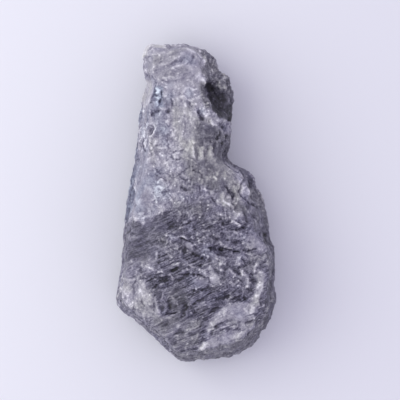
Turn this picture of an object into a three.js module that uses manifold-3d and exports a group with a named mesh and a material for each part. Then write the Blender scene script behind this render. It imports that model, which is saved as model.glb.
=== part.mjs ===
// A rough diamond: one elongated, flattened grey crystal, broken off square at its narrow end, with a
// hollow in the right side of its neck, and resting on a broad cleavage face.
//
// The stone is a closed surface on which a function of place is zero, negative inside. The function
// joins four things: the flank all round, whose plan is the outline below; the cleavage faces of the
// top; the faces of the underside; and the relief, which is ledges, ridges, grooves, pits and general
// roughness. A tapered box about an axis inside the stone is shaped by moving each of its vertices
// along its own ray to that surface, and the underside is then cut flat.
//
// Millimetres, +X to the right, +Y to the narrow end, +Z up from the face that it rests on.
import * as THREE from "three";
import { ImprovedNoise } from "three/addons/math/ImprovedNoise.js";
import { mergeVertices } from "three/addons/utils/BufferGeometryUtils.js";
import Module from "manifold-3d";

// ---- Driving dimensions -----------------------------------------------------------------------

const LENGTH = 13.0; // along Y
const WIDTH = 6.5; // along X, at the broad end
const THICKNESS = 4.6; // from the resting face to the highest ridge
const GREY = 0x7b7986;

// The axis inside the stone, from the middle of the broad end to the middle of the narrow end.
const AXIS_BROAD = new THREE.Vector3(0.1, -3.6, 2.1);
const AXIS_NARROW = new THREE.Vector3(-0.3, 4.7, 1.85);

const CELL = 0.272; // size of the mesh's cells
const JITTER = 0.35; // how far the cells are shifted out of their rows, as part of a cell
const SNAP = 0.42; // how far a vertex may move to a crease, as part of the way to its neighbour
const SWELL = 0.012; // what the outline grows by, since flat cells cut its curves short
const TAPER = { from: -2, to: 4, width: 0.52, height: 0.84 }; // of the box, towards the narrow end

// The outline of the stone seen from above, clockwise from the narrow end's left corner. Each row is
// x, y, the height of the widest point there, then how far the flank leans in per millimetre above
// that height, and per millimetre below it.
const OUTLINE = [
  // narrow end, broken off nearly square
  [-2.06, 6.06, 1.9, 0.16, 0.6],
  [-1.98, 6.33, 1.9, 0.16, 0.7],
  [-1.72, 6.43, 1.9, 0.14, 0.8],
  [-1.19, 6.49, 1.9, 0.12, 0.8],
  [-0.37, 6.5, 1.9, 0.12, 0.8],
  [0.03, 6.41, 1.8, 0.2, 0.7],
  // its bevelled right corner
  [0.4, 6.29, 1.6, 0.3, 0.6],
  [0.64, 6.11, 1.5, 0.34, 0.5],
  [0.83, 5.82, 1.4, 0.36, 0.45],
  [0.91, 5.49, 1.4, 0.3, 0.4],
  // lip outside the hollow
  [1.01, 5.31, 1.5, 0.2, 0.4],
  [1.17, 5.29, 1.6, 0.16, 0.4],
  [1.36, 5.13, 1.7, 0.16, 0.4],
  [1.5, 4.8, 1.8, 0.14, 0.45],
  [1.56, 4.4, 1.8, 0.12, 0.45],
  [1.55, 3.7, 1.7, 0.14, 0.45],
  [1.46, 3.22, 1.6, 0.2, 0.45],
  // waist
  [1.48, 2.73, 1.6, 0.22, 0.4],
  [1.38, 1.87, 1.6, 0.2, 0.35],
  [1.46, 1.69, 1.5, 0.18, 0.35],
  // right shoulder
  [1.78, 1.55, 1.4, 0.16, 0.4],
  [2.11, 1.3, 1.35, 0.17, 0.45],
  [2.35, 1.06, 1.3, 0.18, 0.5],
  [2.47, 0.73, 1.3, 0.2, 0.5],
  [2.62, 0.33, 1.3, 0.24, 0.5],
  [2.8, -0.04, 1.25, 0.25, 0.5],
  // right flank
  [2.88, -0.45, 1.25, 0.24, 0.5],
  [2.94, -0.9, 1.3, 0.2, 0.5],
  [3.09, -1.34, 1.35, 0.15, 0.5],
  [3.16, -1.79, 1.4, 0.12, 0.5],
  [3.23, -2.28, 1.45, 0.11, 0.5],
  [3.19, -2.73, 1.5, 0.11, 0.5],
  [3.22, -3.22, 1.5, 0.12, 0.5],
  [3.25, -3.66, 1.5, 0.13, 0.5],
  [3.19, -4.15, 1.45, 0.16, 0.5],
  [3.06, -4.64, 1.4, 0.2, 0.5],
  // rounded broad end
  [2.88, -5.05, 1.4, 0.22, 0.5],
  [2.62, -5.41, 1.4, 0.24, 0.5],
  [2.47, -5.7, 1.4, 0.24, 0.5],
  [2.23, -5.92, 1.4, 0.24, 0.5],
  [1.9, -6.13, 1.4, 0.22, 0.5],
  [1.54, -6.29, 1.4, 0.22, 0.5],
  [0.93, -6.32, 1.4, 0.2, 0.5],
  [0.44, -6.41, 1.3, 0.2, 0.5],
  [0.07, -6.38, 1.3, 0.2, 0.5],
  [-0.25, -6.48, 1.2, 0.2, 0.45],
  [-0.58, -6.46, 1.2, 0.18, 0.45],
  [-0.88, -6.29, 1.1, 0.14, 0.45],
  [-1.15, -6.02, 1.1, 0.1, 0.45],
  // straight lower left edge
  [-1.43, -5.68, 1.0, 0.1, 0.45],
  [-2.25, -4.97, 1.0, 0.1, 0.45],
  [-3.08, -4.33, 1.0, 0.1, 0.45],
  [-3.21, -4.15, 1.0, 0.1, 0.4],
  // left flank, nearly upright
  [-3.24, -3.74, 1.0, 0.08, 0.35],
  [-3.14, -3.17, 1.0, 0.07, 0.3],
  [-3.02, -2.44, 1.0, 0.06, 0.3],
  [-2.86, -0.77, 1.1, 0.07, 0.3],
  [-2.82, -0.16, 1.2, 0.1, 0.3],
  // its bevelled upper half
  [-2.74, 0.45, 1.3, 0.15, 0.35],
  [-2.63, 0.9, 1.4, 0.17, 0.35],
  [-2.43, 2.16, 1.5, 0.18, 0.4],
  [-2.3, 3.5, 1.6, 0.16, 0.4],
  [-2.21, 4.11, 1.6, 0.15, 0.45],
  [-2.08, 4.6, 1.7, 0.14, 0.5],
  [-1.97, 4.88, 1.8, 0.12, 0.5],
  [-2.06, 5.29, 1.9, 0.12, 0.5],
].map(([x, y, waist, above, below]) => ({ x, y, waist, above, below }));

// The cleavage faces of the top. Each is a plane through a point, with its slopes along X and Y, and
// the lowest one at a place is the surface there.
const TOP_FACES = {
  neck: { at: [-0.9, 3.0, 3.95], slope: [0.1, -0.16] },
  neckRight: { at: [0.1, 3.0, 3.95], slope: [-0.42, -0.14] },
  narrowEnd: { at: [-0.8, 5.2, 3.6], slope: [0.05, -0.34] },
  narrowEndRight: { at: [0.37, 5.66, 3.48], slope: [-1.04, -0.6] },
  body: { at: [0.0, -1.5, 4.42], slope: [-0.01, 0.12] },
  shoulder: { at: [0.8, -0.77, 4.5], slope: [-0.2, -0.2] },
  leftCorner: { at: [-1.5, -3.8, 4.12], slope: [0.24, 0.12] },
  rightCorner: { at: [1.0, -4.1, 4.08], slope: [-0.26, 0.12] },
  broadEnd: { at: [0.0, -5.7, 3.75], slope: [0, 0.5] },
};

// The faces of the underside, in the same terms: the highest one at a place is the surface there.
// The natural bottom lies just below the resting face, so that only its hollows escape the cut.
const UNDER_FACES = {
  bottom: { at: [0, 0, -0.07], slope: [0.01, 0.01] },
  underNarrowEnd: { at: [0, 3.9, 0], slope: [0.05, 0.32] },
  underNeck: { at: [0.35, 3.0, 0], slope: [0.5, 0.12] },
  underRight: { at: [2.0, -1.5, 0], slope: [0.6, 0.05] },
  underLeft: { at: [-1.9, -1, 0], slope: [-0.5, 0.06] },
  underLeftCorner: { at: [-1.6, -3.9, 0], slope: [-0.4, -0.5] },
  underBroadEnd: { at: [0, -4.7, 0], slope: [0.1, -0.42] },
};

// Ledges left where cleavage layers end: each layer rises gently and then drops. Rows are the part of
// the stone they cross, from and to along Y, the direction they run in, how far apart they are and how
// high they step.
const TOP_LEDGES = [
  { from: -7, to: 0.4, direction: 24, spacing: 0.85, height: 0.1 },
  { from: 0, to: 2.4, direction: 40, spacing: 0.9, height: 0.07 },
  { from: 2.0, to: 5.0, direction: 80, spacing: 0.8, height: 0.06 },
  { from: 4.7, to: 7, direction: 18, spacing: 0.6, height: 0.07 },
];
const UNDER_LEDGES = [{ from: -7, to: 7, direction: 35, spacing: 1.1, height: 0.12 }];
const FLANK_LEDGES = { spacing: 0.85, height: 0.11 };

// General roughness: how deep it goes, the size of its largest features, and the height over which it
// grows from nothing at the widest part of the flank.
const ROUGHNESS = { depth: 0.1, size: 1.7, grow: 0.6 };

// Ridges and lumps of the top, from one plan point to another, with half their width and their height.
const RIDGES = [
  { from: [-1.23, -1.3], to: [0.81, -1.71], halfWidth: 0.22, height: 0.16 },
  { from: [-0.82, -2.32], to: [0.4, -2.73], halfWidth: 0.2, height: 0.13 },
  { from: [-2.98, -0.77], to: [-1.43, -0.37], halfWidth: 0.3, height: 0.12 },
  { from: [-1.43, -0.37], to: [-0.4, 0.12], halfWidth: 0.3, height: 0.14 },
  { from: [-0.4, 0.12], to: [0.8, -0.77], halfWidth: 0.25, height: 0.12 },
  { from: [0.8, -0.77], to: [2.5, -1.65], halfWidth: 0.3, height: 0.12 },
  { from: [0.72, 2.0], to: [0.75, 2.4], halfWidth: 0.22, height: 0.14 },
  { from: [0.32, 1.6], to: [0.3, 2.1], halfWidth: 0.2, height: 0.12 },
  { from: [-0.1, 1.9], to: [-0.05, 2.4], halfWidth: 0.2, height: 0.12 },
  { from: [1.95, 0.45], to: [2.15, 0.8], halfWidth: 0.25, height: 0.2 },
  { from: [2.72, -3.13], to: [2.3, -4.44], halfWidth: 0.25, height: 0.12 },
];

// The hollow in the neck's right side, a bowl with a crisp rim, in the same terms.
const HOLLOW = { from: [0.8, 4.52], to: [1.25, 3.85], halfWidth: 0.44, depth: 1.0 };

// Grooves, cracks and pits of the top, in the same terms, with their depth.
const GROOVES = [
  { from: [1.0, 3.2], to: [1.3, 2.4], halfWidth: 0.28, depth: 0.35 },
  { from: [1.4, 0.6], to: [1.76, -0.26], halfWidth: 0.22, depth: 0.16 },
  { from: [1.79, 0.61], to: [2.3, -0.07], halfWidth: 0.24, depth: 0.24 },
  { from: [2.3, -0.07], to: [2.7, -0.98], halfWidth: 0.22, depth: 0.16 },
  { from: [0.85, -1.8], to: [1.25, -1.9], halfWidth: 0.3, depth: 0.2 },
  { from: [0.2, -3.0], to: [0.65, -3.34], halfWidth: 0.25, depth: 0.12 },
  { from: [-1.64, 1.18], to: [-0.37, 1.1], halfWidth: 0.2, depth: 0.12 },
  { from: [-1.8, 3.0], to: [-1.8, 3.0], halfWidth: 0.35, depth: 0.15 },
  { from: [-2.37, -3.13], to: [-2.53, -4.35], halfWidth: 0.2, depth: 0.1 },
  { from: [-1.4, -4.1], to: [-0.6, -3.6], halfWidth: 0.5, depth: 0.12 },
  { from: [0.8, -4.27], to: [0.2, -5.57], halfWidth: 0.3, depth: 0.08 },
];

const TOP = Object.values(TOP_FACES);
const UNDER = Object.values(UNDER_FACES);
const noise = new ImprovedNoise();
const { clamp, lerp, degToRad, smoothstep } = THREE.MathUtils;

// ---- Shape functions --------------------------------------------------------------------------

function planeHeight({ at, slope }, x, y) {
  return at[2] + slope[0] * (x - at[0]) + slope[1] * (y - at[1]);
}

// Several octaves of noise, about -1 to 1, of which the first has features a unit across.
function roughness(x, y, z, octaves) {
  let sum = 0;
  for (let i = 0; i < octaves; i++) {
    const scale = 2 ** i;
    sum += noise.noise(x * scale + 17 * i, y * scale, z * scale) / scale;
  }
  return sum;
}

// A slope that rises by one and drops at once, over each unit.
function sawtooth(t) {
  return t - Math.floor(t);
}

// Plan distance from a point to the line between two others.
function lineDistance(x, y, [ax, ay], [bx, by]) {
  const [ex, ey] = [bx - ax, by - ay];
  const along = ex * ex + ey * ey;
  const t = along > 0 ? clamp(((x - ax) * ex + (y - ay) * ey) / along, 0, 1) : 0;
  return Math.hypot(x - ax - t * ex, y - ay - t * ey);
}

// How far a point is outside the flank, negative inside, and how far it is from the flank's widest part
// in height. The plan distance is to the nearest edge of the outline, and the flank's lean is read from
// the ends of that edge.
function flank(x, y, z) {
  let nearest = Infinity;
  let inside = false;
  let lean = 0;
  let rise = 0;
  for (let i = 0; i < OUTLINE.length; i++) {
    const a = OUTLINE[i];
    const b = OUTLINE[(i + 1) % OUTLINE.length];
    const [ex, ey] = [b.x - a.x, b.y - a.y];
    const t = clamp(((x - a.x) * ex + (y - a.y) * ey) / (ex * ex + ey * ey), 0, 1);
    const distance = Math.hypot(x - a.x - t * ex, y - a.y - t * ey);
    if (distance < nearest) {
      nearest = distance;
      rise = z - lerp(a.waist, b.waist, t);
      const side = rise > 0 ? "above" : "below";
      lean = Math.abs(rise) * lerp(a[side], b[side], t);
    }
    if (a.y > y !== b.y > y && x < a.x + (ex * (y - a.y)) / ey) inside = !inside;
  }
  return { outside: (inside ? -nearest : nearest) + lean - SWELL, rise: Math.abs(rise) };
}

// The height of a family of ledges at a plan point. They wander, and die out at both of their ends.
function ledges(families, x, y) {
  let height = 0;
  for (const { from, to, direction, spacing, height: step } of families) {
    const angle = degToRad(direction);
    const across = (y * Math.cos(angle) - x * Math.sin(angle)) / spacing;
    const wander = 0.9 * noise.noise(x / 1.3, y / 1.3, 5 + direction);
    const here = smoothstep(y, from, from + 0.4) * (1 - smoothstep(y, to - 0.4, to));
    height += here * step * (sawtooth(across + wander) - 0.5);
  }
  return height;
}

// The relief of the top at a plan point, up positive.
function topRelief(x, y) {
  let height = ledges(TOP_LEDGES, x, y);
  for (const { from, to, halfWidth, height: rise } of RIDGES) {
    height += rise * (1 - smoothstep(lineDistance(x, y, from, to), 0, halfWidth));
  }
  for (const { from, to, halfWidth, depth } of GROOVES) {
    height -= depth * (1 - smoothstep(lineDistance(x, y, from, to), 0, halfWidth));
  }
  const inHollow = lineDistance(x, y, HOLLOW.from, HOLLOW.to) / HOLLOW.halfWidth;
  return height - HOLLOW.depth * Math.sqrt(Math.max(0, 1 - inHollow ** 2));
}

// How deep the layers parallel to the resting face cut into the flanks.
function flankRelief(x, y, z) {
  const across = z / FLANK_LEDGES.spacing + 0.8 * noise.noise(x / 2, y / 2, z / 2);
  return FLANK_LEDGES.height * sawtooth(across);
}

function stone(x, y, z) {
  const top = Math.min(...TOP.map((face) => planeHeight(face, x, y))) + topRelief(x, y);
  const under = Math.max(...UNDER.map((face) => planeHeight(face, x, y))) + ledges(UNDER_LEDGES, x, y);
  const { depth, size, grow } = ROUGHNESS;
  const { outside, rise } = flank(x, y, z);
  const grown = smoothstep(rise, 0, grow);
  const side = outside + grown * flankRelief(x, y, z);
  const rough = depth * (0.6 + roughness(x / size, y / size, z / size, 4));
  return Math.max(side, z - top, under - z) + grown * rough;
}

// ---- The solid --------------------------------------------------------------------------------

function welded(geometry) {
  const plain = geometry.clone();
  plain.deleteAttribute("normal");
  plain.deleteAttribute("uv");
  return mergeVertices(plain, 1e-4);
}

const REACH = 5; // farther from the axis than any part of the surface
const STRIDE = 0.1;

// How far along a ray the surface lies: the last crossing before `outside`, then halved down.
function surfaceDistance(origin, direction, outside = REACH) {
  const value = (t) =>
    stone(origin.x + t * direction.x, origin.y + t * direction.y, origin.z + t * direction.z);
  while (outside > STRIDE && value(outside - STRIDE) > 0) outside -= STRIDE;
  let inside = outside - STRIDE;
  for (let i = 0; i < 14; i++) {
    const middle = (inside + outside) / 2;
    if (value(middle) > 0) outside = middle;
    else inside = middle;
  }
  return inside;
}

function surfaceNormal({ x, y, z }) {
  const step = 0.01;
  const value = stone(x, y, z);
  return new THREE.Vector3(
    stone(x + step, y, z) - value,
    stone(x, y + step, z) - value,
    stone(x, y, z + step) - value,
  ).normalize();
}

// The point nearest to all the faces that meet around a surface point: on the crease or the corner if
// there is one close by. It is the least squares meeting point of eight tangent planes around it.
function creasePoint(origin, direction, distance, radius) {
  const here = origin.clone().addScaledVector(direction, distance);
  const across = new THREE.Vector3().crossVectors(direction, new THREE.Vector3(0.3, 1, 0.2)).normalize();
  const other = new THREE.Vector3().crossVectors(direction, across);
  const hold = 0.15;
  const sums = [hold, 0, 0, hold, 0, hold];
  const pull = new THREE.Vector3();
  for (let i = 0; i < 8; i++) {
    const angle = (i * Math.PI) / 4;
    const aim = here
      .clone()
      .addScaledVector(across, radius * Math.cos(angle))
      .addScaledVector(other, radius * Math.sin(angle))
      .sub(origin)
      .normalize();
    const point = origin.clone().addScaledVector(aim, surfaceDistance(origin, aim, distance + 0.4));
    const n = surfaceNormal(point);
    const offset = n.dot(point.sub(here));
    sums[0] += n.x * n.x;
    sums[1] += n.x * n.y;
    sums[2] += n.x * n.z;
    sums[3] += n.y * n.y;
    sums[4] += n.y * n.z;
    sums[5] += n.z * n.z;
    pull.addScaledVector(n, offset);
  }
  const [xx, xy, xz, yy, yz, zz] = sums;
  const move = pull.applyMatrix3(new THREE.Matrix3(xx, xy, xz, xy, yy, yz, xz, yz, zz).invert());
  return here.add(move.clampLength(0, radius));
}

// The distance from each vertex to the nearest one that shares an edge with it.
function neighbourDistances(geometry) {
  const position = geometry.getAttribute("position");
  const index = geometry.index;
  const nearest = new Array(position.count).fill(Infinity);
  const [a, b] = [new THREE.Vector3(), new THREE.Vector3()];
  for (let i = 0; i < index.count; i++) {
    const from = index.getX(i);
    const to = index.getX(i % 3 === 2 ? i - 2 : i + 1);
    const distance = a.fromBufferAttribute(position, from).distanceTo(b.fromBufferAttribute(position, to));
    nearest[from] = Math.min(nearest[from], distance);
    nearest[to] = Math.min(nearest[to], distance);
  }
  return nearest;
}

// The ray through one vertex of the box, after the box is tapered: from the axis beside it, or from the
// axis's nearer end. A small shift keeps the cells from lying in rows.
function rayThrough({ x, y, z }) {
  const shift = (seed) => JITTER * CELL * noise.noise(x / CELL + seed, y / CELL, z / CELL + 0.5);
  const taper = smoothstep(y, TAPER.from, TAPER.to);
  const along = (y - AXIS_BROAD.y) / (AXIS_NARROW.y - AXIS_BROAD.y);
  const origin = new THREE.Vector3().lerpVectors(AXIS_BROAD, AXIS_NARROW, clamp(along, 0, 1));
  const direction = new THREE.Vector3(
    (x + shift(0.37)) * lerp(1, TAPER.width, taper),
    y + shift(9.41) - origin.y,
    (z + shift(5.73)) * lerp(1, TAPER.height, taper),
  ).normalize();
  return { origin, direction, distance: surfaceDistance(origin, direction) };
}

// A tapered box with each vertex moved along its ray to the surface, and then sideways to the crease
// beside it.
function shapedBox() {
  const cells = [WIDTH, LENGTH, THICKNESS].map((size) => Math.round(size / CELL));
  const geometry = welded(new THREE.BoxGeometry(WIDTH, LENGTH, THICKNESS, ...cells));
  const position = geometry.getAttribute("position");
  const point = new THREE.Vector3();
  const rays = [];
  for (let i = 0; i < position.count; i++) {
    const ray = rayThrough(point.fromBufferAttribute(position, i));
    rays.push(ray);
    position.setXYZ(i, ...point.copy(ray.origin).addScaledVector(ray.direction, ray.distance));
  }
  const room = neighbourDistances(geometry);
  rays.forEach(({ origin, direction, distance }, i) => {
    const target = creasePoint(origin, direction, distance, SNAP * room[i]);
    const aim = target.sub(origin).normalize();
    const snapped = surfaceDistance(origin, aim, distance + 0.4);
    position.setXYZ(i, ...point.copy(origin).addScaledVector(aim, snapped));
  });
  return geometry;
}

// Turns the diagonal of each four-sided cell the way that lies closer to the surface.
function turnDiagonals(geometry) {
  const position = geometry.getAttribute("position");
  const index = geometry.index;
  const [a, b] = [new THREE.Vector3(), new THREE.Vector3()];
  const gap = (i, j) => {
    a.fromBufferAttribute(position, i).add(b.fromBufferAttribute(position, j)).multiplyScalar(0.5);
    return Math.abs(stone(a.x, a.y, a.z));
  };
  for (let i = 0; i < index.count; i += 6) {
    const [low, next, high] = [index.getX(i), index.getX(i + 1), index.getX(i + 2)];
    const far = index.getX(i + 4);
    if (gap(low, far) < gap(next, high)) {
      index.setX(i + 2, far);
      index.setX(i + 3, low);
      index.setX(i + 4, far);
      index.setX(i + 5, high);
    }
  }
  return geometry;
}

const wasm = await Module();
wasm.setup();

function solidFrom(geometry) {
  const merged = welded(geometry);
  return new wasm.Manifold(
    new wasm.Mesh({
      numProp: 3,
      vertProperties: merged.getAttribute("position").array,
      triVerts: new Uint32Array(merged.index.array),
    }),
  );
}

function geometryFrom(solid) {
  const { vertProperties, triVerts } = solid.getMesh();
  return new THREE.BufferGeometry()
    .setAttribute("position", new THREE.BufferAttribute(vertProperties, 3))
    .setIndex(new THREE.BufferAttribute(triVerts, 1));
}

// Everything below the resting face, as a slab larger than the stone.
const ground = new THREE.BoxGeometry(2 * LENGTH, 2 * LENGTH, 2).translate(0, 0, -1);
const geometry = geometryFrom(solidFrom(turnDiagonals(shapedBox())).subtract(solidFrom(ground)));
geometry.computeBoundingBox();
const middle = geometry.boundingBox.getCenter(new THREE.Vector3());
geometry.translate(-middle.x, -middle.y, 0);
geometry.computeVertexNormals();

const material = new THREE.MeshStandardMaterial({ color: GREY, roughness: 0.4, metalness: 0 });
material.flatShading = true;
const crystal = new THREE.Mesh(geometry, material);
crystal.name = "rough_diamond";

const group = new THREE.Group();
group.add(crystal);
export default group;
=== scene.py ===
"""The looks of a rough diamond: its fine relief, its etched and cleaved surface, a pale floor and soft light.

Sizes in the dataclasses are millimetres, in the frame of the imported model: +X to the side with the
hollow, +Y to the narrow end and +Z up from the face that the stone rests on.
"""

import logging
import math
from dataclasses import dataclass, field
from enum import Enum

import bmesh
import bpy
import numpy as np
from mathutils import Matrix, Vector, noise

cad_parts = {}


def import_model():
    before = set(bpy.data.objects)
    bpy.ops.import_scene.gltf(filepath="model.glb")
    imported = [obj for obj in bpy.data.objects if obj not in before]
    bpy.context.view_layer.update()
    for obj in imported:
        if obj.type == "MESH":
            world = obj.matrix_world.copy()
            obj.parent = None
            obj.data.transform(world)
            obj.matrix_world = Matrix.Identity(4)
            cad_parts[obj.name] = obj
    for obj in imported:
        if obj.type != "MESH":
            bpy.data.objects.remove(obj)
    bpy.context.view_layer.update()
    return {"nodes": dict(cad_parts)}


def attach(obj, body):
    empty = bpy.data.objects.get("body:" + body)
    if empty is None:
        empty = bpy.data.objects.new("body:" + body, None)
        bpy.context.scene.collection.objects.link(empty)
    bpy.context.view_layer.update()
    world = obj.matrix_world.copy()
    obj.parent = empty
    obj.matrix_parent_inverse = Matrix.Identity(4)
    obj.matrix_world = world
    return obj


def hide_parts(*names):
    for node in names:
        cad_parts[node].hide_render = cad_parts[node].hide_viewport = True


LOG = logging.getLogger("rough_diamond")
MM = 0.001
# The direction of the cleavage and its growth lines, in degrees from +X.
CLEAVAGE_TURN = 24.0

Colour = tuple[float, float, float, float]
Plan = tuple[float, float]
Pair = tuple[float, float]
Sizes = tuple[float, float, float]
Socket = bpy.types.NodeSocket
Tree = bpy.types.NodeTree


class Pattern(Enum):
    """The noise patterns that the fine relief is made of."""

    ROLLING = "PERLIN_ORIGINAL"
    PLATES = "VORONOI_F2F1"
    PITS = "VORONOI_F1"


class Seed(float, Enum):
    """Where each use of the noise starts in it, so that no two uses look alike."""

    STREAKS = 3.0
    PITS = 5.0
    PLATES = 9.0
    DRIFT_X = 11.0
    DRIFT_Y = 23.0
    HUE = 31.0
    FOLDS = 40.0
    FLANK = 47.0
    STREAK_TONE = 60.0
    FACETS = 71.0
    SPOT_TONE = 80.0


class Grain(Enum):
    """How the fine detail of a part of the surface runs: how lined and how fluted it is, from 0 to 1."""

    LINED = (1.0, 0.0)
    BROKEN = (0.35, 0.0)
    FLUTED = (0.0, 1.0)
    PITTED = (0.0, 0.0)


class Fractal(Enum):
    """The shader noises that the finish is made of."""

    EVEN = "FBM"
    RIDGED = "RIDGED_MULTIFRACTAL"


def linear_colour(code: str) -> Colour:
    """Turns a colour written as sRGB hex into Blender's linear values.

    Args:
        code: six hex digits, such as "7b7986".

    Returns:
        Red, green, blue and an alpha of one.
    """
    channels = [int(code[i : i + 2], 16) / 255 for i in (0, 2, 4)]
    linear = [c / 12.92 if c <= 0.04045 else ((c + 0.055) / 1.055) ** 2.4 for c in channels]
    return (*linear, 1.0)


def add_node(tree: Tree, kind: str, settings: dict, links: dict) -> bpy.types.Node:
    """Adds a node to a material.

    Args:
        tree: the material's node tree.
        kind: the node's type name without its ShaderNode prefix.
        settings: values for the node's properties, or for its inputs by name or number.
        links: output sockets to join to the inputs of those names or numbers.

    Returns:
        The new node.
    """
    node = tree.nodes.new("ShaderNode" + kind)
    for key, value in settings.items():
        if isinstance(key, str) and hasattr(node, key):
            setattr(node, key, value)
        else:
            node.inputs[key].default_value = value
    for key, output in links.items():
        tree.links.new(output, node.inputs[key])
    return node


def add_object(name: str, data: bpy.types.ID) -> bpy.types.Object:
    """Puts a new object into the scene.

    Args:
        name: the object's name.
        data: its mesh, light or camera.

    Returns:
        The object, at the origin.
    """
    thing = bpy.data.objects.new(name, data)
    bpy.context.scene.collection.objects.link(thing)
    return thing


def smooth_step(value: np.ndarray, low: float, high: float) -> np.ndarray:
    """Rises smoothly from 0 at low to 1 at high."""
    t = np.clip((value - low) / (high - low), 0.0, 1.0)
    return t * t * (3.0 - 2.0 * t)


def scaled(shape: Sizes, size: float) -> Sizes:
    """A shape's length, width and height, each made size times as large."""
    return (size * shape[0], size * shape[1], size * shape[2])


@dataclass(frozen=True)
class Stroke:
    """A ridge, crack, pit or point of the top, along a chain of plan points.

    A positive height stands up and a negative one is cut in. tone is how much paler the stroke is, or
    darker where it is negative: pale strokes are mostly painted highlights and glints, and dark ones are
    partly painted shade in cracks and pits and partly the stone's own colour. A chain of one point is a
    round pit or point.
    """

    chain: tuple[Plan, ...]
    half_width: float
    height: float
    tone: float


@dataclass(frozen=True)
class Patch:
    """A part of the top with its own look, inside an outline of plan points.

    tone runs from 0, dark, to 1, white. warmth is brown above 0 and blue below it. calm is how much of
    the fine relief is missing, and below 0 the relief is stronger. level raises the whole patch. A value
    of None leaves what is beneath. soft is half the width of the patch's edge. A patch that has sides
    also covers the flank below it.
    """

    outline: tuple[Plan, ...]
    tone: float | None = None
    grain: Grain | None = None
    warmth: float | None = None
    calm: float | None = None
    level: float | None = None
    soft: float = 0.1
    sides: bool = False

    def changes(self) -> dict[str, float]:
        """Gathers what the patch sets.

        Returns:
            The values by name, without those that it leaves alone.
        """
        found = {"tone": self.tone, "warmth": self.warmth, "level": self.level}
        if self.calm is not None:
            found["rough"] = 1 - self.calm
        if self.grain is not None:
            found["lined"], found["fluted"] = self.grain.value
        return {name: value for name, value in found.items() if value is not None}


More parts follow.
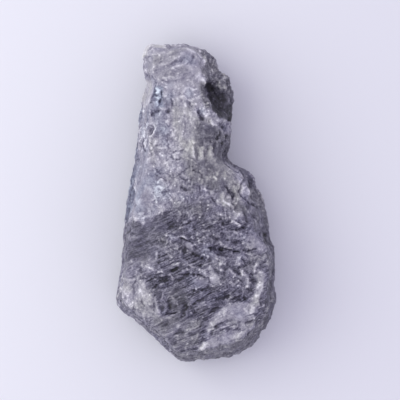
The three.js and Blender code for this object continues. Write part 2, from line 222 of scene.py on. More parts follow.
# Later patches lie over earlier ones.
PATCHES: tuple[Patch, ...] = (
    # The narrow end's tilted face, with its diagonal folds.
    Patch(
        ((-1.95, 6.2), (-0.2, 6.5), (0.35, 5.9), (0.3, 5.2), (-0.4, 4.9), (-1.4, 4.9), (-1.95, 5.2)),
        tone=0.625, grain=Grain.BROKEN, calm=0.45, warmth=0.25, soft=0.15,
    ),
    Patch(
        ((-1.2, 5.0), (-0.6, 5.3), (0.3, 5.25), (0.4, 4.9), (0.3, 4.5), (-0.3, 4.4), (-1.2, 4.5)),
        calm=0.4, soft=0.2,
    ),
    # The dark etched body, smoother at its upper left.
    Patch(
        ((-3.5, -0.95), (-2.86, -0.86), (-2.4, -0.76), (-2.2, -0.9), (-1.85, -0.82), (-1.77, -0.6),
         (-1.35, -0.4), (-1.0, -0.2), (-0.45, 0.0), (0.1, -0.2), (0.8, -0.45), (1.3, -0.7), (2.0, -0.7),
         (2.7, -1.0), (3.5, -1.1), (3.5, -7), (-3.5, -7)),
        tone=0.47, grain=Grain.LINED, calm=-0.1, warmth=0.1, sides=True,
    ),
    Patch(
        ((-3.3, -0.95), (-2.86, -0.88), (-1.77, -0.66), (-1.25, -0.4), (-1.1, -1.1), (-1.5, -2.3),
         (-2.2, -2.6), (-3.3, -2.4)),
        tone=0.405, calm=0.4, warmth=0.35, soft=0.12, sides=True,
    ),
    Patch(
        ((-3.3, -2.2), (-2.4, -2.3), (-1.55, -2.0), (-1.5, -2.6), (-1.9, -3.0), (-3.3, -2.9)),
        tone=0.5, calm=0.35, warmth=0.3, soft=0.15,
    ),
    # Brownish waist, with flutes below its cracks.
    Patch(
        ((-0.5, 1.8), (0.5, 1.7), (1.1, 1.4), (1.4, 0.9), (1.2, 0.4), (0.0, 0.3), (-0.7, 1.0)),
        tone=0.572,
    ),
    Patch(((-0.5, 1.0), (0.5, 1.0), (0.5, 0.4), (-0.6, 0.4)), tone=0.57, grain=Grain.FLUTED),
    Patch(((-0.5, 0.3), (1.2, 0.3), (1.5, -0.6), (0.6, -0.5), (0.1, -0.2), (-0.5, 0.1)), tone=0.59),
    Patch(
        ((-0.7, 3.2), (0.1, 3.6), (0.6, 3.3), (1.3, 1.6), (1.5, 0.8), (0.9, 0.5), (-0.2, 0.9),
         (-0.5, 1.9)),
        warmth=1.15, calm=0.25, soft=0.2,
    ),
    Patch(
        ((1.0, 1.6), (1.5, 1.35), (1.85, 0.6), (1.75, -0.5), (1.1, 0.0), (0.9, 0.8)),
        warmth=0.9, soft=0.15,
    ),
    # The fluted middle of the neck.
    Patch(
        ((-0.85, 4.2), (-0.5, 4.35), (-0.2, 4.0), (0.1, 3.3), (0.1, 2.7), (-0.5, 2.5), (-0.9, 2.9)),
        tone=0.695, grain=Grain.FLUTED, warmth=0.7, calm=0.35, soft=0.18,
    ),
    Patch(
        ((0.2, -1.2), (1.2, -1.0), (2.3, -1.0), (2.7, -1.6), (2.7, -3.2), (2.2, -3.6), (1.3, -3.3),
         (0.5, -2.6), (0.1, -1.9)),
        tone=0.57, grain=Grain.BROKEN, calm=-0.2, warmth=0.15, soft=0.25,
    ),
    Patch(
        ((-1.6, -1.3), (-0.3, -1.0), (0.4, -1.5), (0.2, -2.2), (-0.5, -2.0), (-1.3, -2.2)),
        tone=0.5, grain=Grain.BROKEN, calm=-0.35, soft=0.2,
    ),
    Patch(
        ((-0.95, -0.15), (-0.4, 0.15), (0.4, 0.05), (1.1, -0.25), (1.5, -0.65), (0.9, -0.95), (0.0, -0.75),
         (-0.8, -0.65)),
        tone=0.55, grain=Grain.BROKEN, warmth=0.5, calm=-0.2, soft=0.3,
    ),
    Patch(((0.6, -2.85), (0.95, -2.85), (1.0, -3.2), (0.6, -3.2)), tone=0.53, calm=0.7, soft=0.12),
    Patch(((-0.4, -1.6), (-0.1, -1.6), (-0.1, -1.85), (-0.4, -1.85)), tone=0.5, calm=0.7, soft=0.12),
    # The left edge of the body.
    Patch(
        ((-3.6, -0.9), (-2.83, -0.95), (-2.87, -1.9), (-2.97, -2.6), (-3.05, -3.1), (-3.14, -3.9),
         (-3.8, -3.9)),
        tone=0.58, sides=True, soft=0.04,
    ),
    # The pale lower left and the dark core beside it.
    Patch(
        ((-3.1, -2.75), (-2.4, -2.95), (-1.95, -3.2), (-1.7, -3.7), (-1.5, -4.2), (-1.4, -4.7),
         (-2.2, -4.6), (-2.9, -4.15), (-3.1, -3.5)),
        tone=0.67, grain=Grain.PITTED, warmth=0.45, calm=0.15, soft=0.22, sides=True,
    ),
    Patch(
        ((-1.6, -3.5), (-1.0, -3.35), (-0.4, -3.5), (-0.2, -4.0), (-0.4, -4.5), (-0.9, -4.3),
         (-1.4, -4.25)),
        tone=0.385, calm=0.35, warmth=0.6,
    ),
    Patch(
        ((-0.4, -4.1), (0.1, -3.7), (0.6, -3.4), (1.3, -3.6), (1.1, -3.95), (0.7, -4.4), (0.2, -4.3),
         (-0.3, -4.5)),
        tone=0.42, calm=0.1,
    ),
    Patch(
        ((-0.1, -3.1), (0.2, -2.98), (0.5, -3.15), (0.4, -3.35), (0.0, -3.35)),
        tone=0.53, calm=0.6,
    ),
    Patch(
        ((-1.6, -4.5), (-0.4, -4.6), (0.3, -4.7), (0.1, -5.7), (-0.6, -5.95), (-1.3, -5.5),
         (-1.8, -5.0)),
        tone=0.52, warmth=0.7, calm=0.3,
    ),
    # The pale broken rim on the right and along the broad end.
    Patch(
        ((0.4, -5.0), (0.7, -4.55), (1.0, -4.3), (1.3, -4.0), (2.2, -4.0), (2.5, -4.2), (2.4, -4.7),
         (1.6, -5.3), (0.5, -5.4)),
        tone=0.655, grain=Grain.BROKEN, warmth=0.3, calm=0.35,
    ),
    Patch(
        ((0.42, -5.05), (0.75, -4.6), (1.15, -4.2), (1.45, -4.0), (1.7, -4.15), (1.35, -4.5),
         (0.8, -4.8)),
        tone=0.69, calm=0.2, soft=0.08,
    ),
    Patch(
        ((1.95, -4.25), (2.45, -4.1), (2.5, -4.4), (2.1, -4.6)),
        tone=0.72, soft=0.08,
    ),
    Patch(
        ((2.45, -2.75), (2.8, -2.9), (2.75, -3.5), (2.55, -4.1), (2.2, -4.5), (2.0, -4.3), (2.3, -3.8),
         (2.5, -3.3)),
        tone=0.73, grain=Grain.PITTED, warmth=0.4, calm=0.1,
    ),
    Patch(
        ((2.1, -1.35), (2.4, -1.2), (2.8, -1.7), (2.75, -2.0), (2.3, -1.9), (2.1, -1.7)),
        tone=0.62, grain=Grain.PITTED, calm=0.4,
    ),
    Patch(
        ((0.2, -5.95), (0.3, -5.6), (0.8, -5.4), (1.3, -5.3), (1.9, -5.1), (2.4, -4.75), (2.4, -5.0),
         (1.9, -5.4), (1.4, -5.6), (0.8, -5.8)),
        tone=0.68, grain=Grain.PITTED, warmth=0.3, calm=0.3,
    ),
    Patch(
        ((0.05, -6.0), (0.2, -5.68), (0.5, -5.58), (0.7, -5.7), (0.5, -5.9)),
        tone=0.77, calm=0.1, warmth=0.8, soft=0.08,
    ),
    Patch(
        ((0.45, -5.15), (0.8, -4.86), (1.3, -4.66), (1.75, -4.85), (2.0, -5.02), (1.7, -5.2),
         (1.2, -5.25), (0.7, -5.38), (0.45, -5.32)),
        tone=0.53, grain=Grain.LINED, calm=0.2, soft=0.08,
    ),
    # Bevels round the broad end.
    Patch(
        ((2.0, 0.7), (2.5, 1.1), (3.0, -0.2), (3.3, -1.3), (3.4, -2.5), (3.4, -3.7), (3.3, -4.7),
         (2.9, -5.4), (2.2, -6.3), (1.0, -6.6), (-0.9, -6.7), (-1.0, -6.1), (-0.5, -6.0),
         (0.5, -5.9), (1.5, -5.62), (2.1, -5.4), (2.65, -4.8), (2.85, -3.9), (2.95, -3.0),
         (2.85, -2.0), (2.75, -1.4), (2.5, -0.9), (2.3, -0.2)),
        tone=0.49, grain=Grain.PITTED, warmth=1.0, calm=0.15, soft=0.06, sides=True,
    ),
    Patch(
        ((2.78, -0.9), (2.96, -2.2), (2.98, -3.4), (2.9, -4.3), (2.7, -5.1), (3.3, -5.1), (3.7, -3.0),
         (3.4, -0.9)),
        tone=0.385, warmth=0.7, soft=0.14, sides=True,
    ),
    Patch(
        ((-3.6, -3.9), (-3.05, -4.2), (-1.6, -5.25), (-1.0, -6.05), (-1.1, -6.4), (-2.0, -5.4),
         (-3.4, -4.6)),
        tone=0.52, grain=Grain.BROKEN, calm=0.0, warmth=0.3, soft=0.08, sides=True,
    ),
    # The shoulder: a dark brown edge, a grooved strip outside, frosted lumps inside.
    Patch(
        ((1.9, 0.1), (2.3, 0.0), (2.6, -0.3), (2.85, -1.1), (2.6, -1.3), (2.35, -1.05), (1.9, -0.7),
         (1.85, -0.3)),
        tone=0.45, warmth=0.5, calm=0.3,
    ),
    Patch(
        ((1.3, 1.71), (1.66, 1.42), (1.9, 1.18), (2.05, 0.94), (2.19, 0.57), (2.6, 0.57), (2.6, 0.9),
         (2.45, 1.3), (2.1, 1.7), (1.5, 1.9)),
        tone=0.42, warmth=0.5, calm=0.2, soft=0.06, sides=True,
    ),
    Patch(
        ((1.83, 0.7), (2.1, 0.72), (2.2, 0.4), (2.12, 0.15), (1.9, 0.3)),
        tone=0.68, soft=0.06,
    ),
    Patch(
        ((2.4, 0.5), (3.2, 0.5), (3.2, -0.9), (2.7, -0.9), (2.5, -0.2)),
        level=0.18, soft=0.25, sides=True,
    ),
    Patch(((2.2, 1.15), (2.7, 1.15), (2.8, 0.85), (2.35, 0.8)), level=0.1, soft=0.07, sides=True),
    Patch(((2.35, 0.72), (2.9, 0.72), (2.9, 0.42), (2.4, 0.42)), level=-0.02, soft=0.07, sides=True),
    Patch(((2.5, -0.6), (3.3, -0.6), (3.3, -0.85), (2.6, -0.85)), level=0.08, soft=0.07, sides=True),
    Patch(((2.8, -1.75), (3.6, -1.75), (3.6, -2.0), (2.8, -2.0)), level=0.13, soft=0.07, sides=True),
    Patch(((-3.6, -3.7), (-3.1, -3.8), (-3.0, -4.2), (-3.5, -4.5)), level=0.06, soft=0.15, sides=True),
    Patch(((2.8, -1.7), (3.6, -1.7), (3.6, -3.1), (2.8, -3.1)), level=0.08, soft=0.2, sides=True),
    Patch(((2.7, -4.0), (3.6, -3.8), (3.4, -5.1), (2.6, -5.0)), level=0.1, soft=0.2, sides=True),
    Patch(
        ((0.95, 0.4), (1.3, 0.4), (1.6, 0.0), (1.75, -0.5), (1.5, -0.6), (1.2, -0.2), (0.9, 0.0)),
        tone=0.69, warmth=0.6, soft=0.15,
    ),
    # The bluish left side of the neck.
    Patch(
        ((-2.3, 4.6), (-1.7, 4.5), (-1.1, 4.1), (-0.95, 3.4), (-1.2, 2.7), (-2.3, 2.7)),
        tone=0.625, warmth=-0.2, calm=0.15, soft=0.2, sides=True,
    ),
    # The left strip, cool and smoother below, and the frosted patch inside it.
    Patch(
        ((-2.2, 2.2), (-1.95, 2.3), (-1.7, 1.6), (-1.7, 0.2), (-1.95, -0.2), (-3.3, -0.6), (-3.0, 2.0)),
        tone=0.625, warmth=-0.35, calm=0.35, soft=0.12, sides=True,
    ),
    Patch(
        ((-2.9, 4.9), (-2.2, 4.6), (-2.2, 3.7), (-2.32, 2.9), (-2.3, 2.3), (-2.37, 1.6), (-2.42, 1.1),
         (-2.5, 0.4), (-2.6, -0.2), (-2.75, -0.8), (-3.3, -0.8), (-3.3, 1.5), (-3.0, 3.5)),
        tone=0.53, warmth=-1.0, calm=0.0, soft=0.06, sides=True,
    ),
    Patch(
        ((-1.7, 0.85), (-1.45, 0.9), (-1.0, 0.8), (-0.9, 0.5), (-1.0, 0.05), (-1.65, 0.05)),
        tone=0.79, warmth=-0.4, calm=-0.4,
    ),
    # The brown crumbled side of the neck.
    Patch(
        ((0.15, 3.5), (0.6, 3.2), (1.0, 2.9), (1.9, 2.6), (1.7, 1.6), (0.9, 1.7), (0.6, 2.2),
         (0.15, 2.3), (0.0, 2.8)),
        tone=0.425, warmth=1.05, soft=0.15, sides=True,
    ),
    Patch(
        ((0.2, 4.85), (0.45, 4.9), (0.45, 4.4), (0.5, 4.1), (0.63, 3.78), (0.47, 3.75), (0.3, 4.1),
         (0.2, 4.4)),
        tone=0.45, warmth=1.2,
    ),
    Patch(
        ((0.05, 6.8), (0.3, 5.95), (0.4, 5.7), (0.27, 5.4), (0.4, 5.1), (0.52, 4.9), (0.8, 4.75),
         (1.4, 4.4), (2.0, 4.8), (1.7, 5.6), (0.9, 6.6)),
        tone=0.49, warmth=0.9, soft=0.05, sides=True,
    ),
    # The hollow: its outer part and darker floor, darkened with painted shade over the stone's brown.
    Patch(
        ((0.62, 4.95), (1.15, 4.62), (1.5, 4.5), (1.9, 4.6), (1.9, 3.3), (1.2, 3.7), (0.6, 4.5)),
        tone=0.36, grain=Grain.PITTED, warmth=1.0, calm=0.2, soft=0.06, sides=True,
    ),
    # The hollow's floor, darkest: painted shade over brown.
    Patch(
        ((0.46, 4.97), (0.47, 4.55), (0.52, 4.24), (0.65, 3.8), (0.96, 3.45), (1.9, 3.2), (1.9, 3.75),
         (1.42, 4.0), (1.25, 4.2), (1.17, 4.45), (0.85, 4.56), (0.62, 4.85)),
        tone=0.19, grain=Grain.PITTED, warmth=1.8, calm=0.3, soft=0.04, sides=True,
    ),
    Patch(
        ((1.2, 4.95), (1.4, 4.95), (1.5, 4.65), (1.25, 4.6)),
        tone=0.38, warmth=1.6, soft=0.06,
    ),
    Patch(((0.9, 5.3), (1.1, 5.05), (1.6, 4.9), (1.6, 5.6), (1.0, 5.7)), level=0.1, soft=0.12, sides=True),
    Patch(((-2.4, 5.75), (-1.9, 5.7), (-1.6, 6.6), (-2.4, 6.6)), level=0.11, soft=0.15, sides=True),
    Patch(((-1.3, 6.1), (-0.2, 6.1), (-0.1, 6.8), (-1.3, 6.8)), level=-0.06, soft=0.2, sides=True),
    Patch(((-2.4, 4.9), (-1.9, 4.9), (-1.9, 5.75), (-2.4, 5.75)), level=0.05, soft=0.1, sides=True),
    # A bluish tint over the painted glints left of the neck.
    Patch(
        ((-1.66, 4.7), (-1.33, 4.7), (-1.3, 3.85), (-1.62, 3.85)),
        warmth=-1.3,
    ),
    # A pale chip, and a translucent corner beside the narrow end painted pale and warm for the light that
    # shines through it.
    Patch(
        ((-2.1, 5.1), (-1.84, 5.0), (-1.68, 4.72), (-1.7, 4.4), (-1.85, 4.0), (-2.1, 3.85), (-2.3, 4.6)),
        tone=0.7, grain=Grain.PITTED, warmth=0.4, calm=0.6, soft=0.05, sides=True,
    ),
    Patch(
        ((-2.4, 5.7), (-1.94, 5.95), (-1.88, 6.13), (-1.72, 6.28), (-1.15, 6.35), (-1.1, 6.8), (-2.4, 6.8)),
        tone=0.82, warmth=0.9, calm=0.6, soft=0.05, sides=True,
    ),
)

# Each stroke has its chain, half width, height and tone.
STROKES: tuple[Stroke, ...] = (
    # Narrow end.
    Stroke(((-0.9, 5.42), (-0.62, 5.55), (-0.35, 5.68)), 0.06, 0.03, 0.1),
    Stroke(((-1.35, 5.55), (-0.9, 5.75), (-0.45, 6.05)), 0.12, 0.04, 0.06),
    Stroke(((-1.7, 5.95), (-1.3, 6.1), (-0.9, 6.15)), 0.1, 0.03, 0.06),
    Stroke(((-1.5, 5.35), (-0.95, 5.6), (-0.45, 5.86)), 0.07, -0.02, -0.03),
    Stroke(((-1.3, 5.2), (-0.8, 5.25), (-0.55, 5.4)), 0.14, -0.02, -0.06),
    Stroke(((-0.12, 5.9), (-0.1, 5.75), (-0.2, 5.6)), 0.05, -0.03, -0.08),
    Stroke(((-0.45, 6.32), (-0.1, 6.1), (0.15, 5.8)), 0.09, 0.03, 0.08),
    Stroke(((-0.2, 5.45), (0.1, 5.35), (0.15, 5.15)), 0.14, 0.04, 0.08),
    Stroke(((-1.95, 5.22), (-1.72, 5.05), (-1.6, 4.88)), 0.05, -0.05, -0.16),
    Stroke(((-1.3, 5.02), (-0.95, 5.05), (-0.8, 4.98), (-0.6, 5.12)), 0.04, 0.03, 0.1),
    Stroke(((-1.3, 4.92), (-0.8, 4.86)), 0.05, -0.03, -0.08),
    Stroke(((-0.1, 6.0), (-0.05, 5.85)), 0.05, -0.04, -0.2),
    Stroke(((-1.2, 5.5), (-0.85, 5.68), (-0.55, 5.75)), 0.04, -0.02, -0.06),
    Stroke(((-1.47, 5.93),), 0.06, 0.02, 0.3),
    Stroke(((-0.3, 6.25), (-0.1, 6.05)), 0.08, 0.02, 0.15),
    Stroke(((0.33, 4.97),), 0.08, 0.03, 0.25),
    Stroke(((0.4, 5.9), (0.4, 5.72)), 0.07, 0.04, 0.3),
    Stroke(((0.68, 5.45), (0.7, 5.3)), 0.12, 0.03, 0.12),
    Stroke(((1.13, 5.2), (1.17, 5.05)), 0.07, 0.02, 0.16),
    Stroke(((0.94, 4.8), (1.07, 4.62)), 0.06, 0.03, 0.2),
    Stroke(((1.3, 5.2), (1.45, 4.95), (1.5, 4.7)), 0.05, -0.02, -0.12),
    Stroke(((-2.1, 5.93), (-1.55, 5.92)), 0.04, -0.02, -0.12),
    Stroke(((-1.35, 5.95), (-1.38, 5.6)), 0.05, -0.02, -0.08),
    Stroke(((-1.75, 6.1), (-1.55, 6.2)), 0.07, 0.02, 0.08),
    # Left of the neck: a chip with dark sides, painted glints and a crater.
    Stroke(((-1.63, 4.8), (-1.62, 4.4), (-1.8, 4.0)), 0.05, -0.05, -0.16),
    Stroke(((-1.97, 4.9), (-1.95, 4.3)), 0.04, -0.02, -0.08),
    Stroke(((-1.53, 4.62), (-1.45, 4.5), (-1.52, 4.45)), 0.06, 0.05, 0.42),
    Stroke(((-1.56, 4.24), (-1.46, 4.2), (-1.4, 4.26)), 0.05, 0.04, 0.3),
    Stroke(((-1.55, 4.05), (-1.52, 3.92)), 0.05, 0.04, 0.3),
    Stroke(((-1.38, 4.5), (-1.36, 4.3), (-1.42, 4.05)), 0.05, -0.05, -0.14),
    Stroke(((-1.58, 4.5), (-1.55, 4.3)), 0.04, -0.04, -0.14),
    Stroke(((-2.1, 3.7),), 0.06, 0.02, 0.25),
    Stroke(((-0.5, 4.45), (-0.4, 4.6), (-0.2, 4.63), (0.0, 4.58)), 0.05, 0.03, 0.1),
    Stroke(((0.8, 5.05), (1.0, 4.8)), 0.05, 0.03, 0.08),
    Stroke(((-1.72, 3.56), (-1.65, 3.64), (-1.5, 3.72)), 0.1, -0.06, -0.25),
    Stroke(((-1.1, 3.67),), 0.08, -0.04, -0.22),
    Stroke(((-1.95, 3.12), (-1.68, 3.05), (-1.66, 2.92), (-1.86, 2.75)), 0.04, -0.05, -0.12),
    Stroke(((-1.9, 3.0),), 0.08, -0.05, -0.2),
    Stroke(((-1.72, 2.78), (-1.86, 2.7)), 0.05, 0.03, 0.26),
    Stroke(((-1.78, 2.95), (-1.83, 2.88)), 0.06, -0.03, -0.1),
    Stroke(((-1.66, 3.1), (-1.61, 2.96), (-1.66, 2.84)), 0.045, 0.04, 0.36),
    Stroke(((-1.93, 3.22), (-1.98, 3.05)), 0.04, 0.04, 0.3),
    Stroke(((-1.96, 3.3),), 0.06, -0.04, -0.2),
    Stroke(((-2.24, 2.93), (-2.1, 2.98), (-2.06, 2.85)), 0.08, 0.03, 0.2),
    Stroke(((-2.1, 2.5), (-2.08, 2.12)), 0.04, -0.05, -0.3),
    Stroke(((-2.02, 2.5), (-2.02, 2.15)), 0.04, 0.02, 0.16),
    Stroke(((-1.95, 2.45), (-1.75, 2.4), (-1.7, 2.2)), 0.04, -0.03, -0.12),
    Stroke(((-1.9, 2.35), (-1.78, 2.2)), 0.04, 0.03, 0.12),
    # Neck: an arc over a lobe, flutes, a pit and the crumbled side.
    Stroke(((-0.75, 4.2), (-0.6, 4.3), (-0.4, 4.3), (-0.25, 4.1)), 0.06, 0.03, 0.1),
    Stroke(((-0.93, 4.2), (-0.95, 3.9)), 0.05, -0.04, -0.2),
    Stroke(((-0.25, 4.1), (-0.1, 3.85)), 0.05, -0.04, -0.18),
    Stroke(((-0.02, 4.57),), 0.07, 0.02, 0.18),
    Stroke(((-0.36, 4.0), (-0.35, 3.9)), 0.05, 0.03, 0.2),
    Stroke(((-0.45, 3.7), (-0.44, 3.62)), 0.05, 0.02, 0.14),
    Stroke(((0.15, 4.3),), 0.06, 0.02, 0.15),
    Stroke(((0.2, 3.66), (0.27, 3.52), (0.33, 3.4)), 0.1, -0.1, -0.3),
    Stroke(((0.47, 3.54),), 0.08, 0.03, 0.3),
    Stroke(((0.69, 3.6),), 0.07, 0.03, 0.22),
    Stroke(((0.68, 3.28), (0.72, 3.15)), 0.06, 0.03, 0.25),
    Stroke(((0.9, 3.3),), 0.13, 0.03, 0.14),
    Stroke(((1.08, 3.15), (1.18, 3.02)), 0.11, -0.1, -0.25),
    Stroke(((0.99, 2.85), (0.95, 2.6)), 0.06, -0.08, -0.25),
    Stroke(((1.25, 2.7), (1.2, 2.52)), 0.07, -0.07, -0.2),
    Stroke(((1.1, 2.72), (1.1, 2.6)), 0.08, 0.04, 0.2),
    Stroke(((1.08, 2.42),), 0.07, -0.05, -0.2),
    Stroke(((-0.08, 2.5), (-0.05, 2.42)), 0.05, 0.02, 0.2),
    Stroke(((0.68, 2.32), (0.6, 1.95)), 0.13, 0.05, 0.1),
    Stroke(((0.22, 2.02), (0.28, 1.8)), 0.1, 0.04, 0.08),
    Stroke(((-0.1, 2.2), (-0.06, 1.98)), 0.05, 0.04, 0.14),
    Stroke(((-0.07, 1.88),), 0.08, 0.03, 0.08),
    Stroke(((-0.92, 2.75), (-0.7, 2.5), (-0.72, 2.2)), 0.13, 0.03, 0.05),
    Stroke(((-1.15, 2.75), (-1.1, 2.3), (-0.98, 2.1)), 0.04, -0.03, -0.1),
    Stroke(((-0.27, 2.1), (-0.22, 1.85), (0.0, 1.72)), 0.05, -0.04, -0.08),
    Stroke(((0.02, 2.3), (0.1, 2.05), (0.12, 1.75)), 0.06, -0.04, -0.08),
    Stroke(((0.5, 2.2), (0.42, 1.95), (0.45, 1.7)), 0.08, -0.05, -0.1),
    Stroke(((0.83, 2.4), (0.78, 1.9)), 0.06, -0.04, -0.08),
    Stroke(((1.38, 2.13), (1.36, 1.84)), 0.05, -0.04, -0.15),
    # Waist: lumps and curved cracks.
    Stroke(((-0.82, 1.87), (-0.66, 1.98)), 0.1, 0.05, 0.08),
    Stroke(((-0.98, 1.93), (-0.86, 1.74), (-0.7, 1.73), (-0.58, 1.82)), 0.05, -0.05, -0.18),
    Stroke(((-0.85, 2.05), (-0.65, 2.12), (-0.5, 2.14)), 0.05, -0.04, -0.14),
    Stroke(((-1.02, 2.28), (-0.9, 2.2), (-0.88, 2.35)), 0.04, 0.02, 0.12),
    Stroke(((-1.11, 1.6), (-1.08, 1.54)), 0.06, 0.02, 0.14),
    Stroke(((-1.2, 1.4), (-0.85, 1.38)), 0.07, 0.03, 0.12),
    Stroke(((-1.6, 1.14), (-1.35, 1.0), (-1.15, 0.86)), 0.03, -0.04, -0.14),
    Stroke(((-1.6, 1.34), (-1.3, 1.22), (-1.08, 1.16), (-0.93, 1.05), (-0.7, 1.08)), 0.03, -0.03, -0.13),
    Stroke(((-0.7, 1.08), (-0.6, 1.1), (-0.45, 1.32), (-0.25, 1.46)), 0.03, -0.02, -0.08),
    Stroke(((-0.6, 1.05), (-0.45, 0.9), (-0.2, 0.9), (-0.05, 1.05)), 0.03, -0.02, -0.1),
    Stroke(((-0.05, 1.3), (0.1, 1.42), (0.25, 1.6)), 0.05, -0.02, -0.08),
    Stroke(((-0.15, 1.2), (0.0, 1.28)), 0.07, 0.02, 0.08),
    Stroke(((-0.42, 1.08), (-0.15, 1.12)), 0.12, 0.04, 0.06),
    Stroke(((-0.05, 1.3), (0.25, 1.2), (0.3, 1.0)), 0.04, -0.04, -0.12),
    Stroke(((0.15, 0.23), (0.3, 0.33), (0.55, 0.31)), 0.035, 0.03, 0.16),
    Stroke(((-0.08, 1.46),), 0.05, -0.03, -0.25),
    Stroke(((0.76, 1.04), (0.86, 0.96)), 0.06, 0.04, 0.4),
    Stroke(((-0.58, 0.65), (-0.33, 0.53)), 0.06, -0.04, -0.16),
    Stroke(((-1.53, 0.62), (-1.5, 0.45)), 0.06, 0.02, 0.06),
    Stroke(((-1.39, 0.55),), 0.07, -0.05, -0.3),
    Stroke(((-1.27, 0.4), (-1.15, 0.46)), 0.08, -0.05, -0.25),
    Stroke(((-2.3, 0.08),), 0.14, 0.03, 0.16),
    Stroke(((-2.43, 0.62), (-2.46, 0.42)), 0.04, 0.02, 0.3),
    Stroke(((-2.41, 0.95), (-2.38, 0.5)), 0.04, 0.02, 0.15),
    # Shoulder: grooves that follow the rim, and pale points, partly frost and partly painted glints.
    Stroke(((1.2, 0.7), (1.38, 0.42)), 0.14, -0.04, -0.07),
    Stroke(((1.29, 0.61), (1.5, 0.33), (1.54, 0.04), (1.64, -0.16)), 0.05, -0.06, -0.2),
    Stroke(
        ((1.99, 0.94), (1.82, 0.7), (1.77, 0.49), (1.9, 0.24), (2.23, -0.02), (2.47, -0.24)),
        0.05, -0.08, -0.22,
    ),
    Stroke(((2.22, 0.95), (2.25, 0.7)), 0.08, -0.05, -0.14),
    Stroke(((1.88, 0.62), (2.0, 0.6)), 0.05, 0.03, 0.16),
    Stroke(((2.03, 0.5), (2.1, 0.36)), 0.07, 0.05, 0.14),
    Stroke(((1.62, 0.62), (1.64, 0.4)), 0.1, 0.04, 0.1),
    Stroke(((1.6, 0.2), (1.66, 0.02)), 0.06, 0.03, 0.1),
    Stroke(((1.32, 1.48), (1.45, 1.3)), 0.1, 0.03, 0.08),
    Stroke(((1.13, 0.32), (1.13, 0.22)), 0.1, 0.04, 0.12),
    Stroke(((1.38, 0.22),), 0.07, 0.03, 0.1),
    Stroke(((1.13, 0.12), (1.32, -0.07)), 0.05, 0.04, 0.3),
    Stroke(((1.95, 0.0), (2.25, -0.55)), 0.035, 0.02, 0.08),
    Stroke(((2.06, -0.02), (2.42, -0.65)), 0.035, -0.03, -0.1),
    Stroke(((1.86, -0.15), (2.12, -0.72)), 0.035, -0.03, -0.1),
    Stroke(((2.3, -0.2), (2.62, -0.95)), 0.035, 0.02, 0.07),
    Stroke(((0.89, 0.1),), 0.06, 0.02, 0.18),
    Stroke(((0.24, 0.2), (0.52, 0.22)), 0.05, 0.03, 0.18),
    Stroke(((0.7, 0.2), (0.76, 0.05)), 0.05, -0.05, -0.2),
    Stroke(((1.6, -0.35), (1.72, -0.45)), 0.1, 0.03, 0.1),
    Stroke(((0.44, 1.05), (0.62, 1.02)), 0.06, 0.03, 0.12),
    # Body: recesses and cracks darkened with painted shade, painted highlights on their lit edges, and bright
    # ridges, partly painted highlight.
    Stroke(((1.15, -0.78), (1.4, -0.76)), 0.09, -0.06, -0.16),
    Stroke(((1.5, -0.74), (1.66, -0.78), (1.82, -0.9)), 0.05, 0.05, 0.45),
    Stroke(((1.5, -1.08), (1.75, -1.06), (1.95, -0.95)), 0.06, -0.06, -0.16),
    Stroke(((-0.5, -1.36),), 0.05, 0.03, 0.3),
    Stroke(((-1.15, -1.3), (-0.74, -1.34), (-0.45, -1.38)), 0.07, 0.04, 0.16),
    Stroke(((-0.59, -1.42), (-0.33, -1.52), (-0.12, -1.58)), 0.05, -0.07, -0.28),
    Stroke(((0.18, -1.52),), 0.06, 0.03, 0.35),
    Stroke(((0.19, -1.62),), 0.05, 0.03, 0.3),
    Stroke(((0.3, -1.58),), 0.06, -0.04, -0.2),
    Stroke(((-0.48, -1.92), (-0.38, -1.82)), 0.1, -0.06, -0.25),
    Stroke(((-0.78, -1.65), (-0.74, -1.92), (-0.64, -2.0)), 0.04, 0.03, 0.18),
    Stroke(((-0.4, -1.42), (0.0, -1.66), (0.45, -1.78)), 0.13, 0.02, 0.07),
    Stroke(((-0.1, -2.05), (0.15, -2.08)), 0.1, -0.06, -0.22),
    Stroke(((-1.06, -2.15), (-0.95, -2.17)), 0.08, 0.03, 0.16),
    Stroke(((-1.45, -2.16), (-1.12, -2.08)), 0.08, -0.05, -0.16),
    Stroke(((-1.54, -1.97), (-1.54, -2.3)), 0.06, 0.03, 0.2),
    Stroke(((-0.62, -2.2), (-0.45, -2.35), (-0.24, -2.44)), 0.05, 0.03, 0.12),
    Stroke(((-0.72, -2.57),), 0.05, 0.03, 0.28),
    Stroke(((-0.92, -2.68), (-0.76, -2.65)), 0.07, -0.06, -0.25),
    Stroke(((-0.19, -2.77),), 0.06, 0.03, 0.25),
    Stroke(((0.08, -2.99),), 0.06, 0.03, 0.25),
    Stroke(((-0.5, -2.85), (-0.05, -2.87)), 0.06, -0.04, -0.18),
    Stroke(((0.15, -2.88), (0.43, -2.96), (0.55, -3.08), (0.6, -3.2)), 0.05, -0.05, -0.2),
    Stroke(((0.41, -2.74),), 0.05, 0.02, 0.2),
    Stroke(((0.65, -1.84), (0.85, -1.8), (1.05, -1.86)), 0.11, -0.07, -0.24),
    Stroke(((0.5, -1.82), (0.7, -1.82)), 0.06, -0.05, -0.14),
    Stroke(((1.13, -1.8), (1.38, -1.9), (1.74, -1.93)), 0.04, -0.06, -0.24),
    Stroke(((1.3, -1.82), (1.55, -1.88)), 0.04, 0.03, 0.24),
    Stroke(((1.9, -1.87), (2.2, -1.9), (2.46, -1.87)), 0.04, -0.05, -0.22),
    Stroke(((2.11, -2.02), (2.28, -2.06)), 0.05, 0.04, 0.34),
    Stroke(((1.74, -2.15), (1.7, -2.38)), 0.12, 0.04, 0.2),
    Stroke(((1.88, -2.18), (2.06, -2.32), (2.2, -2.42)), 0.06, -0.05, -0.14),
    Stroke(((1.82, -2.58), (2.04, -2.48)), 0.1, -0.06, -0.14),
    Stroke(((2.35, -2.7), (2.6, -2.28)), 0.09, 0.04, 0.14),
